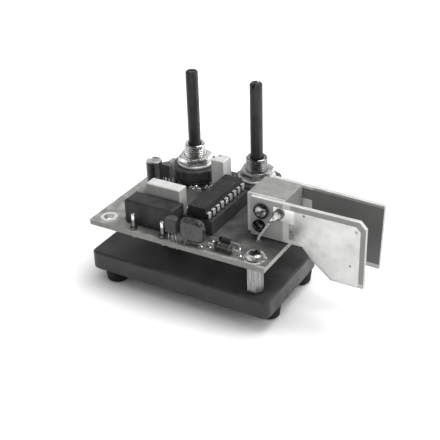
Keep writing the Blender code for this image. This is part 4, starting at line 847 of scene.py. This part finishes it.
def stage():
    """A white floor that keeps the shadow under the key, and throws less light than it shows."""
    bm = bmesh.new()
    bmesh.ops.create_grid(bm, x_segments=1, y_segments=1, size=FLOOR_HALF)
    mesh = bpy.data.meshes.new("floor")
    bm.to_mesh(mesh)
    bm.free()
    floor = bpy.data.objects.new("floor", mesh)
    bpy.context.scene.collection.objects.link(floor)
    material = bpy.data.materials.new("floor")
    material.use_nodes = True
    tree = material.node_tree
    tree.nodes.clear()
    seen = path(tree, SEEN)
    tone = join(tree, "Mix", seen, *TO_COLOURS, THROWN, WHITE, data_type="RGBA")[2]
    diffuse = join(tree, "BsdfDiffuse", tone)[0]
    place = join(tree, "NewGeometry")["Position"]
    distance = join(tree, "VectorMath", place, operation="LENGTH")["Value"]
    far = join(tree, "MapRange", distance, *FAR_GLOW)[0]
    # Painted shade: close to the key the glow fades by how closed in the floor is.
    lift = join(tree, "AmbientOcclusion", None, CLOSE, samples=6)["AO"]
    lift = eased(tree, lift, *OPEN_GLOW)
    both = join(tree, "Math", lift, far, operation="ADD")[0]
    strength = join(tree, "Math", seen, both, operation="MULTIPLY")[0]
    glow = join(tree, "Emission", None, strength)[0]
    join(tree, "OutputMaterial", join(tree, "AddShader", diffuse, glow)[0])
    material.cycles.emission_sampling = "NONE"
    mesh.materials.append(material)


def sky():
    """A white room with an even light on the key, and darker above and in front in reflections."""
    world = bpy.data.worlds.new("studio")
    world.use_nodes = True
    tree = world.node_tree
    tree.nodes.clear()
    toward = join(tree, "TexCoord")["Generated"]
    height = eased(tree, join(tree, "SeparateXYZ", toward)[2], 0.10, 0.85, 1.0, 0.08)
    ahead = join(tree, "VectorMath", toward, FRONT, operation="DOT_PRODUCT")["Value"]
    ahead = eased(tree, ahead, 0.25, 0.80, 1.0, 0.12)
    mirror = join(tree, "Math", height, ahead, operation="MULTIPLY")[0]
    inside = join(tree, "Mix", path(tree, MIRRORED), None, ROOM_LIGHT, mirror)[0]
    strength = join(tree, "Mix", path(tree, SEEN[:1]), None, inside, 1.0)[0]
    join(tree, "OutputWorld", join(tree, "Background", WHITE, strength)[0])
    bpy.context.scene.world = world


def lamp(name, place, size, power):
    """A round soft lamp that shines on the key."""
    data = bpy.data.lights.new(name, "AREA")
    data.shape = "DISK"
    data.size = size
    data.energy = power
    thing = bpy.data.objects.new(name, data)
    thing.location = place
    thing.rotation_euler = (LIT - Vector(place)).to_track_quat("-Z", "Y").to_euler()
    bpy.context.scene.collection.objects.link(thing)
    return thing


def camera():
    """The camera fitted to the photograph's angle."""
    data = bpy.data.cameras.new("camera")
    data.sensor_width = 36.0
    data.lens = LENS
    data.shift_x = SHIFT
    data.clip_start = 0.01
    data.clip_end = 20.0
    thing = bpy.data.objects.new("camera", data)
    axes = Matrix((RIGHT, UP, RIGHT.cross(UP))).transposed().to_4x4()
    thing.matrix_world = Matrix.Translation(EYE) @ axes
    bpy.context.scene.collection.objects.link(thing)
    bpy.context.scene.camera = thing


stage()
sky()
lamp("key", (0.20, 0.26, 0.72), 0.55, 4.2)
lamp("right", (0.80, 0.05, 0.35), 0.80, 2.6).visible_glossy = False
camera()
bpy.context.scene.view_settings.view_transform = "Standard"
